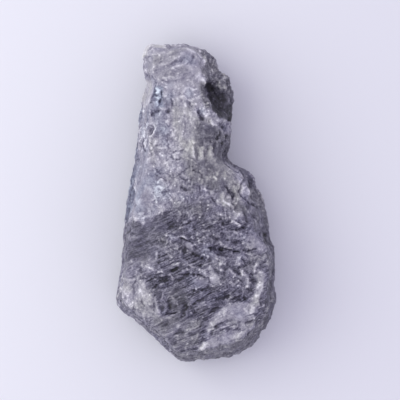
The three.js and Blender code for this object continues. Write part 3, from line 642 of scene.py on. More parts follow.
    Stroke(((-0.95, -2.55), (-0.6, -2.42), (-0.25, -2.45), (0.1, -2.6), (0.44, -2.76)), 0.07, 0.03, 0.14),
    Stroke(((0.62, -2.95), (0.9, -3.2), (1.25, -3.5)), 0.13, 0.02, 0.08),
    Stroke(((1.2, -2.8), (1.22, -2.98)), 0.12, -0.05, -0.12),
    Stroke(((1.52, -2.98),), 0.06, 0.03, 0.3),
    Stroke(((0.32, -2.22), (0.55, -2.3)), 0.12, -0.06, -0.22),
    Stroke(((1.32, -2.5), (1.5, -2.6)), 0.1, -0.05, -0.18),
    Stroke(((2.15, -3.5), (2.3, -3.55)), 0.08, -0.04, -0.14),
    Stroke(((0.9, -2.2), (1.1, -2.28), (1.35, -2.2)), 0.05, 0.03, 0.16),
    Stroke(((0.75, -2.5), (0.95, -2.4), (1.15, -2.45)), 0.05, 0.03, 0.14),
    Stroke(((1.9, -2.9), (2.1, -3.0), (2.15, -3.15)), 0.05, 0.03, 0.16),
    Stroke(((1.05, -2.55), (1.2, -2.6)), 0.1, -0.05, -0.14),
    Stroke(((1.62, -2.72), (1.72, -2.85)), 0.11, -0.05, -0.16),
    Stroke(((0.8, -2.68), (0.95, -2.78)), 0.09, -0.04, -0.14),
    Stroke(((2.0, -2.72), (2.14, -2.8)), 0.08, -0.04, -0.14),
    Stroke(((0.95, -2.02), (1.15, -2.06)), 0.08, -0.04, -0.16),
    Stroke(((1.56, -1.55), (1.8, -1.62)), 0.1, -0.04, -0.14),
    Stroke(((0.72, -1.32), (0.9, -1.42)), 0.09, -0.04, -0.14),
    Stroke(((1.42, -2.75), (1.5, -2.86), (1.62, -2.98)), 0.035, 0.03, 0.22),
    Stroke(((1.78, -2.66), (1.88, -2.8), (1.86, -2.92)), 0.035, 0.03, 0.22),
    Stroke(((1.75, -3.05), (1.95, -3.2)), 0.05, -0.04, -0.16),
    Stroke(((0.23, -2.52),), 0.08, -0.04, -0.16),
    Stroke(((1.42, -3.18), (1.56, -3.3)), 0.05, 0.03, 0.2),
    Stroke(((2.14, -3.33),), 0.08, 0.04, 0.42),
    Stroke(((1.88, -3.3),), 0.06, -0.04, -0.22),
    Stroke(((2.28, -2.85), (2.3, -3.1)), 0.09, -0.05, -0.15),
    Stroke(((2.41, -3.1), (2.43, -3.22)), 0.1, -0.07, -0.18),
    Stroke(((2.49, -2.82),), 0.08, -0.05, -0.2),
    Stroke(((2.67, -3.22), (2.72, -3.4), (2.6, -3.58)), 0.08, 0.04, 0.06),
    Stroke(((2.67, -2.79),), 0.07, 0.03, 0.14),
    Stroke(((2.84, -1.25), (2.88, -1.42), (2.84, -1.66)), 0.07, -0.07, -0.22),
    Stroke(((2.2, -1.57),), 0.07, -0.05, -0.25),
    Stroke(((2.6, -1.83),), 0.08, 0.03, 0.14),
    Stroke(((1.33, -1.39),), 0.07, 0.03, 0.18),
    Stroke(((1.23, -1.77),), 0.05, 0.02, 0.22),
    Stroke(((-2.72, -1.2), (-2.58, -1.14)), 0.06, -0.04, -0.2),
    Stroke(((-2.08, -0.85), (-2.08, -0.6)), 0.06, 0.03, 0.16),
    Stroke(((-1.99, -2.54), (-1.85, -2.6), (-1.68, -2.63)), 0.05, 0.03, 0.24),
    Stroke(((-2.12, -2.51),), 0.06, 0.02, 0.18),
    Stroke(((-2.2, -2.62), (-2.2, -2.72)), 0.08, -0.04, -0.14),
    # The dark cells: thin walls painted bright as if lit, round sunken floors darkened with painted shade.
    Stroke(((-1.48, -2.99), (-1.1, -2.99)), 0.05, -0.05, -0.24),
    Stroke(((-1.4, -3.1), (-1.15, -3.1)), 0.1, -0.05, -0.18),
    Stroke(((-1.03, -3.92), (-1.0, -4.15)), 0.12, -0.05, -0.12),
    Stroke(((-1.12, -3.75), (-1.14, -3.9)), 0.04, 0.03, 0.24),
    Stroke(((-1.08, -3.76), (-0.86, -3.86)), 0.04, 0.02, 0.16),
    Stroke(((-1.35, -4.22),), 0.1, -0.05, -0.12),
    Stroke(((-0.4, -4.12), (-0.44, -4.5)), 0.1, -0.08, -0.16),
    Stroke(((-0.35, -4.1), (-0.1, -3.98)), 0.04, 0.03, 0.2),
    Stroke(((-0.2, -4.18), (0.02, -4.05)), 0.06, -0.04, -0.12),
    Stroke(((-0.14, -3.49), (-0.05, -3.48)), 0.06, -0.05, -0.24),
    Stroke(((-0.2, -3.78),), 0.07, 0.02, 0.16),
    Stroke(((-1.64, -3.75), (-1.62, -3.98)), 0.05, 0.03, 0.18),
    Stroke(((-1.52, -3.98), (-1.5, -4.35)), 0.06, 0.04, 0.2),
    Stroke(((-1.3, -3.55), (-1.15, -3.4)), 0.04, 0.03, 0.18),
    Stroke(((-1.32, -3.62), (-1.34, -3.84), (-1.22, -3.98)), 0.035, 0.02, 0.2),
    Stroke(((-0.72, -3.92), (-0.68, -4.14)), 0.035, 0.02, 0.18),
    # The pale lower left, cracked and spotted.
    Stroke(((-2.4, -3.03), (-2.47, -3.6), (-2.5, -4.28)), 0.03, -0.03, -0.15),
    Stroke(((-1.66, -3.7), (-1.62, -4.1), (-1.68, -4.5)), 0.035, -0.04, -0.14),
    Stroke(((-2.95, -2.96), (-2.4, -2.98)), 0.04, -0.02, -0.06),
    Stroke(((-2.98, -3.04), (-2.45, -3.08)), 0.04, 0.02, 0.08),
    Stroke(((-2.82, -3.55), (-2.7, -3.8), (-2.55, -4.05)), 0.2, 0.0, 0.12),
    Stroke(((-2.82, -3.72), (-2.78, -3.82)), 0.06, -0.03, -0.14),
    Stroke(((-2.18, -3.95), (-2.05, -4.12)), 0.05, -0.03, -0.12),
    Stroke(((-2.95, -3.95), (-2.7, -4.25), (-2.55, -4.35)), 0.08, -0.02, -0.08),
    Stroke(((-2.25, -3.58), (-2.0, -3.75), (-1.8, -4.0)), 0.15, 0.0, 0.09),
    Stroke(((-3.08, -4.14),), 0.07, 0.02, 0.2),
    Stroke(((-3.02, -3.1), (-2.9, -3.25)), 0.06, -0.03, -0.12),
    # Diagonal streaks below the core.
    Stroke(((-0.1, -4.05), (0.15, -3.88), (0.46, -3.72), (0.6, -3.6)), 0.06, -0.05, -0.14),
    Stroke(((0.3, -3.48), (0.52, -3.42)), 0.08, -0.05, -0.16),
    Stroke(((0.9, -3.88), (1.16, -3.8), (1.3, -3.7)), 0.09, -0.06, -0.14),
    Stroke(((0.57, -4.38), (0.9, -4.22)), 0.06, -0.05, -0.16),
    Stroke(((0.0, -4.22), (0.5, -4.02), (0.9, -3.98)), 0.04, 0.03, 0.1),
    Stroke(((1.3, -3.95), (1.45, -3.75)), 0.07, 0.03, 0.12),
    Stroke(((1.7, -3.92), (2.02, -3.84)), 0.1, -0.05, -0.18),
    Stroke(((2.46, -3.74),), 0.08, 0.03, 0.16),
    Stroke(((2.34, -4.2), (2.26, -4.42)), 0.08, 0.04, 0.16),
    # Broad end: a dark crease, frosted points and streaks.
    Stroke(((0.4, -4.55), (0.22, -4.95), (0.18, -5.4), (-0.1, -5.75)), 0.05, -0.03, -0.1),
    Stroke(((0.56, -5.08), (0.5, -5.18)), 0.05, 0.02, 0.16),
    Stroke(((0.68, -5.12), (0.64, -5.25)), 0.06, -0.05, -0.18),
    Stroke(((0.8, -4.97), (0.97, -4.83), (1.12, -4.8)), 0.06, -0.05, -0.18),
    Stroke(((0.22, -5.9), (0.4, -5.78)), 0.08, 0.02, 0.08),
    Stroke(((1.18, -4.46), (1.3, -4.3)), 0.06, 0.03, 0.14),
    Stroke(((1.75, -4.78), (1.9, -4.82)), 0.06, -0.04, -0.16),
    Stroke(((1.0, -5.0), (1.3, -4.92), (1.6, -5.0)), 0.04, 0.02, 0.16),
    Stroke(((1.89, -4.83),), 0.06, 0.03, 0.2),
    Stroke(((1.9, -5.05),), 0.05, 0.02, 0.2),
    Stroke(((2.06, -4.87), (2.33, -4.76)), 0.05, -0.04, -0.18),
    Stroke(((2.0, -4.6), (2.2, -4.52), (2.42, -4.42)), 0.04, -0.04, -0.16),
    Stroke(((-0.66, -4.92),), 0.07, 0.02, 0.18),
    Stroke(((-0.7, -5.15), (-0.5, -5.13)), 0.12, -0.05, -0.14),
    Stroke(((-0.2, -5.28), (-0.02, -5.25)), 0.08, -0.04, -0.12),
    Stroke(((-1.0, -5.62), (-0.8, -5.6)), 0.1, -0.04, -0.16),
    Stroke(((-1.23, -5.48),), 0.05, -0.03, -0.18),
    Stroke(((-1.3, -4.9), (-1.15, -4.9)), 0.12, -0.03, -0.12),
    Stroke(((-1.13, -4.6), (-1.0, -4.64)), 0.07, 0.02, 0.14),
    Stroke(((-0.04, -4.48), (-0.05, -4.58)), 0.05, 0.02, 0.16),
    Stroke(((2.16, -5.5), (2.2, -5.62)), 0.1, -0.03, -0.08),
)


@dataclass
class Surface:
    """A mesh's vertices, normals and edges as arrays, and the measures taken on them.

    A seed moves the noise along and up. The shortest run keeps a chain of one point from a length of zero.
    """

    points: np.ndarray
    normals: np.ndarray
    edges: np.ndarray
    seed_rise: float = 7.0
    shortest_run: float = 1e-9

    def turned(self, turn: float) -> tuple[np.ndarray, np.ndarray]:
        """Measures the vertices along and across a direction in the plan.

        Args:
            turn: the direction, in degrees from +X.

        Returns:
            The distances along it and the distances across it.
        """
        angle = math.radians(turn)
        x, y = self.points[:, 0], self.points[:, 1]
        return x * math.cos(angle) + y * math.sin(angle), y * math.cos(angle) - x * math.sin(angle)

    def noise(
        self, sizes: Sizes, seed: float, turn: float = 0.0, pattern: Pattern = Pattern.ROLLING
    ) -> np.ndarray:
        """Noise at every vertex.

        Args:
            sizes: the features' length along, across and above the direction they run in.
            seed: picks a different part of the noise.
            turn: the direction they run in, in degrees from +X.
            pattern: which noise.

        Returns:
            One value for each vertex, with its mean at zero.
        """
        along, across = self.turned(turn)
        height = self.points[:, 2] / sizes[2] + self.seed_rise * seed
        rows = zip(along / sizes[0] + seed, across / sizes[1], height)
        values = np.array([noise.noise(row, noise_basis=pattern.value) for row in rows])
        return values - values.mean()

    def even_noise(self, size: float, seed: float, pattern: Pattern = Pattern.ROLLING) -> np.ndarray:
        """Noise at every vertex, with features of one size in every direction."""
        return self.noise((size, size, size), seed, pattern=pattern)

    def folds(self, sizes: Sizes, seed: float) -> np.ndarray:
        """Rounded lumps with sharp creases between them, around zero, at every vertex."""
        lumps = np.abs(self.noise(sizes, seed))
        return lumps - lumps.mean()

    def drift(self, size: float, reach: float) -> np.ndarray:
        """A plan shift for every vertex, up to about reach, that changes over distances of size."""
        shifts = [self.even_noise(size, seed) for seed in (Seed.DRIFT_X, Seed.DRIFT_Y)]
        return reach * np.stack(shifts, axis=1)

    def chain_distance(self, chain: tuple[Plan, ...], wander: np.ndarray) -> np.ndarray:
        """Plan distance from each vertex to a chain of points.

        Args:
            chain: the points, in order.
            wander: a plan shift for each vertex, which makes the line less straight.

        Returns:
            One distance for each vertex.
        """
        place = self.points[:, :2] + wander
        nearest = np.full(len(place), np.inf)
        for start, end in zip(chain, chain[1:] or chain):
            start_point = np.array(start)
            run = np.array(end) - start_point
            t = np.clip((place - start_point) @ run / max(run @ run, self.shortest_run), 0.0, 1.0)
            nearest = np.minimum(nearest, np.linalg.norm(place - start_point - t[:, None] * run, axis=1))
        return nearest

    def patch_mask(self, patch: Patch, wander: np.ndarray) -> np.ndarray:
        """How far each vertex is inside a patch.

        Args:
            patch: the patch.
            wander: a plan shift for each vertex, which makes the patch's edge less straight.

        Returns:
            From 0 outside to 1 inside, for each vertex.
        """
        ring = patch.outline + patch.outline[:1]
        distance = self.chain_distance(ring, wander)
        x, y = (self.points[:, :2] + wander).T
        inside = np.zeros(len(x), dtype=bool)
        for (x0, y0), (x1, y1) in zip(ring[:-1], ring[1:]):
            if y0 != y1:
                inside ^= ((y0 > y) != (y1 > y)) & (x < (x1 - x0) * (y - y0) / (y1 - y0) + x0)
        return smooth_step(np.where(inside, distance, -distance), -patch.soft, patch.soft)

    def crest(self, rounds: int) -> np.ndarray:
        """How far each vertex stands above its smoothed surroundings.

        Args:
            rounds: how many times the surroundings are smoothed.

        Returns:
            Millimetres, above zero on ridges and below it in cracks.
        """
        first, second = self.edges.T
        size = len(self.points)
        joined = np.bincount(self.edges.ravel(), minlength=size)
        smooth = self.points.copy()
        for _ in range(rounds):
            for axis in range(3):
                value = smooth[:, axis].copy()
                total = np.bincount(first, value[second], size) + np.bincount(second, value[first], size)
                smooth[:, axis] = (value + total / joined) / 2
        return np.einsum("ij,ij->i", self.points - smooth, self.normals)


@dataclass(frozen=True)
class Texture:
    """Fine lines or grain.

    width is that of one line or grain, and length is how many times longer it is, along a direction of
    turn degrees from +X. wave is how far it bends. tone is how strongly it shows. middle is the noise's
    own mean.
    """

    width: float
    tone: float
    length: float = 1.0
    turn: float = 0.0
    wave: float = 0.6
    noise: Fractal = Fractal.EVEN
    middle: float = 0.5


@dataclass(frozen=True)
class EtchedDiamond:
    """Rough diamond: etched and cleaved by nature, greasy to the eye, grey from graphite inside it.

    Fresh cleavage shows bright and dark by turns, and frosted places scatter light and look paler. Its
    growth lines and grain are mostly under 0.02 mm, too fine to show, so they are drawn a few times coarser.
    """

    shades: tuple[tuple[float, str], ...] = (
        (0.0, "09070f"),
        (0.2, "343142"),
        (0.33, "545165"),
        (0.5, "817e90"),
        (0.67, "aba8b5"),
        (1.0, "f8f6fb"),
    )
    # The tints, and the tones over which brown gives way to frosting.
    brown: str = "fbfded"
    blue: str = "ecf8ff"
    frosting: Pair = (0.7, 0.95)
    frosted_brown: float = 0.15
    ior: float = 2.42
    roughness: float = 0.45
    gloss: float = 0.12
    relief: float = 0.05
    lines: Texture = Texture(width=0.06, tone=1.1, length=6.0, turn=CLEAVAGE_TURN, wave=0.3)
    flutes: Texture = Texture(width=0.1, tone=0.8, length=6.0, turn=84.0, wave=0.3)
    spots: Texture = Texture(width=0.06, tone=0.75)
    filaments: Texture = Texture(width=0.26, tone=0.6, noise=Fractal.RIDGED, middle=0.2)
    # How many times taller than wide lines and grain are, and their finer, fainter layers.
    upward: float = 2.5
    octaves: float = 3.0
    octave_share: float = 0.6
    # Painted glints in cells of a size of glint_gap. Their size and number are shares of the cells'.
    glint_gap: float = 0.17
    glint_size: float = 0.35
    glint_share: float = 0.3
    painted_glint_tone: float = 0.45

    def make(self) -> bpy.types.Material:
        """Builds the material.

        Returns:
            A node material that reads Object coordinates and the crystal's own attributes.
        """
        material = bpy.data.materials.new("etched_diamond")
        material.use_nodes = True
        tree = material.node_tree
        tree.nodes.clear()
        place = add_node(tree, "TexCoord", {}, {}).outputs["Object"]
        tone, warmth, lined, fluted, rough = (
            add_node(tree, "Attribute", {"attribute_name": name}, {}).outputs["Fac"]
            for name in ("tone", "warmth", "lined", "fluted", "rough")
        )
        grain = self.add_texture(tree, place, self.spots)
        # Painted glints join the grain, which goes into the tone and the bump.
        for extra in (self.add_texture(tree, place, self.filaments), self.add_painted_glints(tree, place)):
            grain = add_node(tree, "Math", {"operation": "ADD"}, {0: grain, 1: extra}).outputs[0]
        weigh = {"operation": "MULTIPLY_ADD"}
        for weight, texture in ((lined, self.lines), (fluted, self.flutes)):
            links = {0: weight, 1: self.add_texture(tree, place, texture), 2: grain}
            grain = add_node(tree, "Math", weigh, links).outputs[0]
        value = add_node(tree, "Math", weigh, {0: grain, 1: rough, 2: tone}).outputs[0]
        ramp = add_node(tree, "ValToRGB", {}, {0: value})
        self.fill_ramp(ramp)
        relief = {"Distance": self.relief * MM}
        shader = add_node(
            tree,
            "BsdfPrincipled",
            {"IOR": self.ior, "Roughness": self.roughness, "Specular IOR Level": self.gloss},
            {
                "Base Color": self.add_tint(tree, ramp.outputs["Color"], warmth, value),
                "Normal": add_node(tree, "Bump", relief, {"Height": grain, "Strength": rough}).outputs[0],
            },
        )
        add_node(tree, "OutputMaterial", {}, {"Surface": shader.outputs[0]})
        return material

    def add_texture(self, tree: Tree, place: Socket, texture: Texture) -> Socket:
        """Adds fine lines or grain.

        Args:
            tree: the material's node tree.
            place: the Object coordinates.
            texture: their size, direction and strength.

        Returns:
            Their tone, centred on zero.
        """
        stretch = {
            "vector_type": "TEXTURE",
            "Rotation": (0, 0, math.radians(texture.turn)),
            "Scale": scaled((texture.length, 1.0, self.upward), texture.width * MM),
        }
        mapping = add_node(tree, "Mapping", stretch, {"Vector": place})
        layers = {
            "noise_type": texture.noise.value,
            "normalize": True,
            "Scale": 1.0,
            "Detail": self.octaves,
            "Roughness": self.octave_share,
            "Distortion": texture.wave,
        }
        grain = add_node(tree, "TexNoise", layers, {"Vector": mapping.outputs[0]})
        centred = {"operation": "MULTIPLY_ADD", 1: texture.tone, 2: -texture.middle * texture.tone}
        return add_node(tree, "Math", centred, {0: grain.outputs[0]}).outputs[0]

    def add_painted_glints(self, tree: Tree, place: Socket) -> Socket:
        """Painted glints: small facets painted bright as if lit, in some of the cells of a random pattern.

        Args:
            tree: the material's node tree.
            place: the Object coordinates.

        Returns:
            The painted glints' tone, zero between them.
        """
        cells = add_node(tree, "TexVoronoi", {"Scale": 1 / (self.glint_gap * MM)}, {"Vector": place})
        share = add_node(tree, "SeparateColor", {}, {0: cells.outputs["Color"]}).outputs[0]
        fewer = {"operation": "LESS_THAN", 1: self.glint_share}
        chosen = add_node(tree, "Math", fewer, {0: share}).outputs[0]
        facet = {"From Min": self.glint_size, "From Max": 0.0, "To Max": self.painted_glint_tone}
        glint = add_node(tree, "MapRange", facet, {"Value": cells.outputs["Distance"]}).outputs[0]
        return add_node(tree, "Math", {"operation": "MULTIPLY"}, {0: glint, 1: chosen}).outputs[0]

    def fill_ramp(self, ramp: bpy.types.Node) -> None:
        """Sets a ramp to run from black inclusions to white frosting.

        Args:
            ramp: the colour ramp's node.
        """
        stops = ramp.color_ramp.elements
        while len(stops) < len(self.shades):
            stops.new(1.0)
        for stop, (position, colour) in zip(stops, self.shades):
            stop.position = position
            stop.color = linear_colour(colour)

    def add_tint(self, tree: Tree, colour: Socket, warmth: Socket, value: Socket) -> Socket:
        """Turns the colour brownish where warmth is positive and bluish where it is negative.

        Args:
            tree: the material's node tree.
            colour: the grey of the stone.
            warmth: the tint.
            value: the stone's tone. Frosting, near 1, is hardly turned brown.

        Returns:
            The tinted colour.
        """
        low, high = self.frosting
        fade = {"From Min": low, "From Max": high, "To Min": 1.0, "To Max": self.frosted_brown}
        bare = add_node(tree, "MapRange", fade, {"Value": value}).outputs[0]
        positive = {"operation": "MULTIPLY", "use_clamp": True}
        warm = add_node(tree, "Math", positive, {0: warmth, 1: bare}).outputs[0]
        cold = add_node(tree, "Math", {**positive, 1: -1.0}, {0: warmth}).outputs[0]
        for tint, amount in ((self.brown, warm), (self.blue, cold)):
            shade = {"data_type": "RGBA", "blend_type": "MULTIPLY", 7: linear_colour(tint)}
            colour = add_node(tree, "Mix", shade, {0: amount, 6: colour}).outputs[2]
        return colour


@dataclass(frozen=True)
class MattPaper:
    """Uncoated white paper: pressed from pulp with no glaze, so it spreads light evenly and has no shine."""

    colour: str = "e7e7ee"
    roughness: float = 0.9

    def make(self) -> bpy.types.Material:
        """Builds the material.

        Returns:
            A material of one plain colour.
        """
        material = bpy.data.materials.new("matt_paper")
        material.use_nodes = True
        shader = material.node_tree.nodes["Principled BSDF"]
        shader.inputs["Base Color"].default_value = linear_colour(self.colour)
        shader.inputs["Roughness"].default_value = self.roughness
        return material


@dataclass
class Crystal:
    """The crystal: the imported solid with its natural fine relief.

    A field named a shape gives the length, width and height of a feature as shares of its size.
    """

    # The mesh: its faces' size, and the slope and height above which they are finer still.
    weld: float = 1e-4
    voxel: float = 0.079
    smoothing: int = 2
    smoothing_share: float = 0.5
    fine_slope: float = 0.3
    fine_height: float = 1.5
    # Where the top gives way to the flank, the upper flank to the lower one, and the flank to the base.
    rim_slopes: Pair = (-0.1, 0.15)
    side_heights: Pair = (0.9, 1.6)
    base_heights: Pair = (0.0, 0.4)
    # How edges wander from their plan, as the size and the reach of each wave.
    wide_wander: Pair = (0.35, 0.06)
    fine_wander: Pair = (0.13, 0.04)
    flank_wander: float = 5.0
    # The relief: streaks, folds, plates and pits. Ledges are cut into its coarsest sizes.
    feature_sizes: tuple[float, ...] = (0.8, 0.42, 0.22, 0.12)
    ledged_sizes: int = 2
    fine_gain: float = 1.5
    line_turn: float = CLEAVAGE_TURN
    streak_shape: Sizes = (2.4, 0.8, 1.2)
    streak_slope: float = 0.1
    fold_shape: Sizes = (1.0, 1.3, 1.0)
    fold_slope: float = 0.2
    plate_sizes: Sizes = (0.75, 0.3, 0.4)
    plate_height: float = 0.04
    pit_size: float = 0.3
    pit_depth: float = 0.02
    ledge: float = 0.04
    ledge_edge: float = 0.25
    # A stroke has faded away at this many half widths from its chain.
    stroke_fade: float = 1.5
    # The left flank is smoother: by how much, and between which distances from the middle that begins.
    left_calm: float = 0.2
    left_distances: Pair = (0.8, 1.6)
    # The tone and tint: paler and darker spots, facets, wide changes on the flank, and the crest's painted
    # highlight on ridges and painted shade in cracks.
    top_tone: float = 0.702
    flank_tone: float = 0.368
    flank_lines: float = 0.3
    flank_spot: float = 1.2
    flank_spot_tone: float = 0.16
    streak_tone_shape: Sizes = (2.4, 0.8, 1.0)
    spot_tone: float = 0.07
    facet_size: float = 0.32
    facet_tone: float = 0.07
    hue_size: float = 0.5
    hue_drift: float = 0.7
    crest_rounds: int = 12
    crest_limits: Pair = (-0.055, 0.035)
    crest_highlight_and_shade: float = 2.9
    patches: tuple[Patch, ...] = PATCHES
    strokes: tuple[Stroke, ...] = STROKES
    finish: EtchedDiamond = field(default_factory=EtchedDiamond)

    def build(self, node: bpy.types.Object) -> bpy.types.Object:
        """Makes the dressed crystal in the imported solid's place.

        Args:
            node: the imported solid.

        Returns:
            The new object, at the origin.
        """
        mesh = self.fine_mesh(self.even_mesh(node))
        crystal = add_object("crystal", mesh)
        self.dress(mesh)
        mesh.materials.append(self.finish.make())
        return crystal

    def even_mesh(self, node: bpy.types.Object) -> bpy.types.Mesh:
        """Covers the solid with an even, closed mesh.

        Args:
            node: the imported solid.

        Returns:
            The mesh, in millimetres.
        """
        shape = bmesh.new()
        shape.from_mesh(node.data)
        shape.transform(Matrix.Scale(1 / MM, 4) @ node.matrix_world)
        bmesh.ops.remove_doubles(shape, verts=shape.verts, dist=self.weld)
        coarse = bpy.data.meshes.new("solid_copy")
        shape.to_mesh(coarse)
        shape.free()
        holder = add_object("solid_copy", coarse)
        remesh = holder.modifiers.new("even_mesh", "REMESH")
        remesh.mode = "VOXEL"
        remesh.voxel_size = self.voxel
        soften = holder.modifiers.new("soften", "SMOOTH")
        soften.factor = self.smoothing_share
        soften.iterations = self.smoothing
        graph = bpy.context.evaluated_depsgraph_get()
        mesh = bpy.data.meshes.new_from_object(holder.evaluated_get(graph))
        bpy.data.objects.remove(holder)
        mesh.name = "crystal"
        return mesh

    def fine_mesh(self, mesh: bpy.types.Mesh) -> bpy.types.Mesh:
        """Cuts the faces of the upper side finer.

        Args:
            mesh: the even mesh, in millimetres, which is changed.

        Returns:
            The same mesh, in metres.
        """
        shape = bmesh.new()
        shape.from_mesh(mesh)
        shape.normal_update()
        upper = {
            edge
            for face in shape.faces
            if face.normal.z > self.fine_slope and face.calc_center_median().z > self.fine_height
            for edge in face.edges
        }
        bmesh.ops.subdivide_edges(shape, edges=list(upper), cuts=1, use_grid_fill=True)
        bmesh.ops.triangulate(shape, faces=[face for face in shape.faces if len(face.verts) > 4])
        shape.normal_update()
        shape.transform(Matrix.Scale(MM, 4))
        shape.to_mesh(mesh)
        shape.free()
        mesh.shade_smooth()
        return mesh

    def read_surface(self, mesh: bpy.types.Mesh) -> Surface:
        """Reads a mesh into arrays.

        Args:
            mesh: the crystal's mesh, in metres.

        Returns:
            Its vertices, normals and edges, in millimetres.
        """
        points = np.empty(len(mesh.vertices) * 3)
        normals = np.empty(len(mesh.vertices) * 3)
        edges = np.empty(len(mesh.edges) * 2, dtype=np.int32)
        mesh.vertices.foreach_get("co", points)
        mesh.vertex_normals.foreach_get("vector", normals)
        mesh.edges.foreach_get("vertices", edges)
        return Surface(points.reshape(-1, 3) / MM, normals.reshape(-1, 3), edges.reshape(-1, 2))

    def dress(self, mesh: bpy.types.Mesh) -> None:
        """Moves the vertices into the fine relief and stores the attributes that the finish reads.

        Args:
            mesh: the crystal's mesh, which is changed.
        """
        surface = self.read_surface(mesh)
        side = smooth_step(surface.points[:, 2], *self.side_heights)
        up = side * smooth_step(surface.normals[:, 2], *self.rim_slopes)
        drift = surface.drift(*self.wide_wander) + surface.drift(*self.fine_wander)
        drift = drift * (1 + self.flank_wander * (1 - up))[:, None]
        look = self.patch_look(surface, up, side, drift)
        height = look["rough"] * self.relief(surface, look["lined"])
        for stroke in self.strokes:
            distance = surface.chain_distance(stroke.chain, drift)
            spread = up * (1 - smooth_step(distance, 0, self.stroke_fade * stroke.half_width))
            height += stroke.height * spread
            # Stroke tones: pale ones are painted highlights and glints, dark ones partly painted shade in
            # cracks and pits.
            look["tone"] += stroke.tone * spread
        above_base = smooth_step(surface.points[:, 2], *self.base_heights)
        height = (height + look.pop("level")) * above_base
        surface.points = surface.points + surface.normals * height[:, None]
        surface.points[:, 2] = np.maximum(surface.points[:, 2], 0.0)
        mesh.vertices.foreach_set("co", (surface.points * MM).ravel())
        mesh.update()
        look["tone"] += look["rough"] * self.blotches(surface, look["lined"])
        look["tone"] += self.flank_spot_tone * (1 - up) * surface.even_noise(self.flank_spot, Seed.FLANK)
        look["warmth"] += self.hue_drift * surface.even_noise(self.hue_size, Seed.HUE)
        # Painted highlight on ridges and painted shade in cracks and hollows, by how far each vertex stands
        # out.
        look["tone"] += self.crest_highlight_and_shade * np.clip(surface.crest(self.crest_rounds), *self.crest_limits)
        for name, value in look.items():
            mesh.attributes.new(name, "FLOAT", "POINT").data.foreach_set("value", value)

    def patch_look(
        self, surface: Surface, up: np.ndarray, side: np.ndarray, drift: np.ndarray
    ) -> dict[str, np.ndarray]:
        """Gathers the patches into one value of each kind for every vertex.

        Args:
            surface: the crystal before it has any fine relief.
            up: 1 on the top, fading to 0 on the flank.
            side: 1 on the top and the upper flank, fading to 0 below them.
            drift: a plan shift for each vertex, which makes the patches' edges natural.

        Returns:
            The values by name: tone, warmth, lined, fluted, rough and level.
        """
        size = len(up)
        smooth_left = smooth_step(-surface.points[:, 0], *self.left_distances) * (1 - up)
        look = {
            "tone": self.flank_tone + (self.top_tone - self.flank_tone) * up,
            "warmth": np.zeros(size),
            "lined": self.flank_lines * (1 - side),
            "fluted": np.zeros(size),
            "rough": 1 - self.left_calm * smooth_left,
            "level": np.zeros(size),
        }
        for patch in self.patches:
            mask = surface.patch_mask(patch, drift) * (side if patch.sides else up)
            for name, value in patch.changes().items():
                look[name] += (value - look[name]) * mask
        return look

    def relief(self, surface: Surface, lined: np.ndarray) -> np.ndarray:
        """The height of the etched relief: streaky where it is lined and lumpy elsewhere.

        Args:
            surface: the crystal before it has any fine relief.
            lined: 1 where streaks run along the cleavage and 0 where lumps have no direction.

        Returns:
            Millimetres along the normal.
        """
        layers = []
        for number, size in enumerate(self.feature_sizes):
            streaks = surface.noise(scaled(self.streak_shape, size), Seed.STREAKS + number, self.line_turn)
            folds = surface.folds(scaled(self.fold_shape, size), Seed.FOLDS + number) * (-1) ** number
            slopes = self.streak_slope * lined * streaks + self.fold_slope * (1 - lined) * folds
            layers.append(size * slopes)
        plates = surface.noise(self.plate_sizes, Seed.PLATES, self.line_turn, Pattern.PLATES)
        pits = surface.even_noise(self.pit_size, Seed.PITS, Pattern.PITS)
        rolling = sum(layers[: self.ledged_sizes])
        rolling = rolling + self.plate_height * lined * plates + self.pit_depth * (1 - lined) * pits
        return self.terraced(rolling) + self.fine_gain * sum(layers[self.ledged_sizes :])

    def terraced(self, height: np.ndarray) -> np.ndarray:
        """Cuts a rolling height into flat steps with steep edges.

        Args:
            height: the rolling height.

        Returns:
            The stepped height.
        """
        level = height / self.ledge
        whole = np.floor(level)
        return self.ledge * (whole + smooth_step(level - whole, 1 - self.ledge_edge, 1.0))

    def blotches(self, surface: Surface, lined: np.ndarray) -> np.ndarray:
        """Paler and darker spots of every size down to the mesh's own, and flat-toned facets.

        Args:
            surface: the crystal.
            lined: 1 where the spots are drawn out into streaks and 0 where they are round.

        Returns:
            The change in tone for each vertex.
        """
        tone = np.zeros(len(lined))
        for number, size in enumerate(self.feature_sizes):
            shape = scaled(self.streak_tone_shape, size)
            streaks = surface.noise(shape, Seed.STREAK_TONE + number, self.line_turn)
            spots = surface.even_noise(size, Seed.SPOT_TONE + number)
            tone += self.spot_tone * (lined * streaks + (1 - lined) * spots)
        facets = surface.even_noise(self.facet_size, Seed.FACETS, Pattern.PLATES)
        return tone + self.facet_tone * (1 - lined) * facets


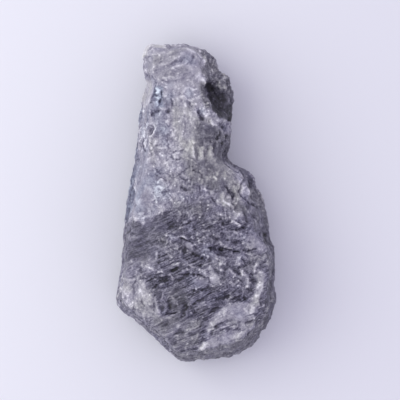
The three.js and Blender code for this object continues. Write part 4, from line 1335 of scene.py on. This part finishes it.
@dataclass
class Studio:
    """A pale floor, soft light and a camera straight above the stone."""

    middle: Plan = (0.195, 0.122)
    view_width: float = 16.28
    view_height: float = 1.5
    lens: float = 400.0
    sensor: float = 36.0
    nearest: float = 1.0
    softbox_place: Sizes = (-33.5, 5.5, 39.5)
    softbox_size: float = 48.0
    softbox_energy: float = 0.012
    softbox_colour: str = "faffee"
    surround: float = 0.94
    surround_colour: str = "e7e4f5"
    floor_reach: float = 500.0
    paper: MattPaper = field(default_factory=MattPaper)

    def build(self) -> bpy.types.Object:
        """Makes the floor, the light and the camera.

        Returns:
            The floor.
        """
        self.add_camera()
        self.add_softbox()
        self.add_surround()
        return self.add_floor()

    def add_camera(self) -> None:
        """A long lens looking straight down, with +Y up in the picture."""
        camera = add_object("camera", bpy.data.cameras.new("camera"))
        camera.data.lens = self.lens
        camera.data.sensor_width = self.sensor
        camera.data.clip_start = self.nearest * MM
        reach = self.view_width * self.lens / self.sensor + self.view_height
        camera.location = (self.middle[0] * MM, self.middle[1] * MM, reach * MM)
        bpy.context.scene.camera = camera

    def add_softbox(self) -> None:
        """A large soft light at the upper left, turned towards the stone."""
        light = bpy.data.lights.new("softbox", "AREA")
        light.shape = "SQUARE"
        light.size = self.softbox_size * MM
        light.energy = self.softbox_energy
        light.color = linear_colour(self.softbox_colour)[:3]
        box = add_object("softbox", light)
        box.location = Vector(self.softbox_place) * MM
        box.rotation_euler = (-box.location).to_track_quat("-Z", "Y").to_euler()

    def add_surround(self) -> None:
        """An even pale surround, seen without any change of tone."""
        world = bpy.data.worlds.new("surround")
        world.use_nodes = True
        background = world.node_tree.nodes["Background"]
        background.inputs["Color"].default_value = linear_colour(self.surround_colour)
        background.inputs["Strength"].default_value = self.surround
        bpy.context.scene.world = world
        bpy.context.scene.view_settings.view_transform = "Standard"

    def add_floor(self) -> bpy.types.Object:
        """A wide matt sheet under the stone.

        Returns:
            The sheet.
        """
        shape = bmesh.new()
        bmesh.ops.create_grid(shape, x_segments=1, y_segments=1, size=self.floor_reach * MM)
        mesh = bpy.data.meshes.new("floor")
        shape.to_mesh(mesh)
        shape.free()
        mesh.materials.append(self.paper.make())
        return add_object("floor", mesh)


def main() -> None:
    """Builds the stone and the studio."""
    logging.basicConfig(level=logging.INFO, format="%(name)s: %(message)s")
    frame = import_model()
    crystal = Crystal().build(frame["nodes"]["rough_diamond"])
    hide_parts("rough_diamond")
    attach(crystal, "root")
    LOG.info("crystal: %d triangles", sum(len(face.vertices) - 2 for face in crystal.data.polygons))
    Studio().build()
    LOG.info("studio: floor, softbox, surround and camera")


if __name__ == "__main__":
    main()
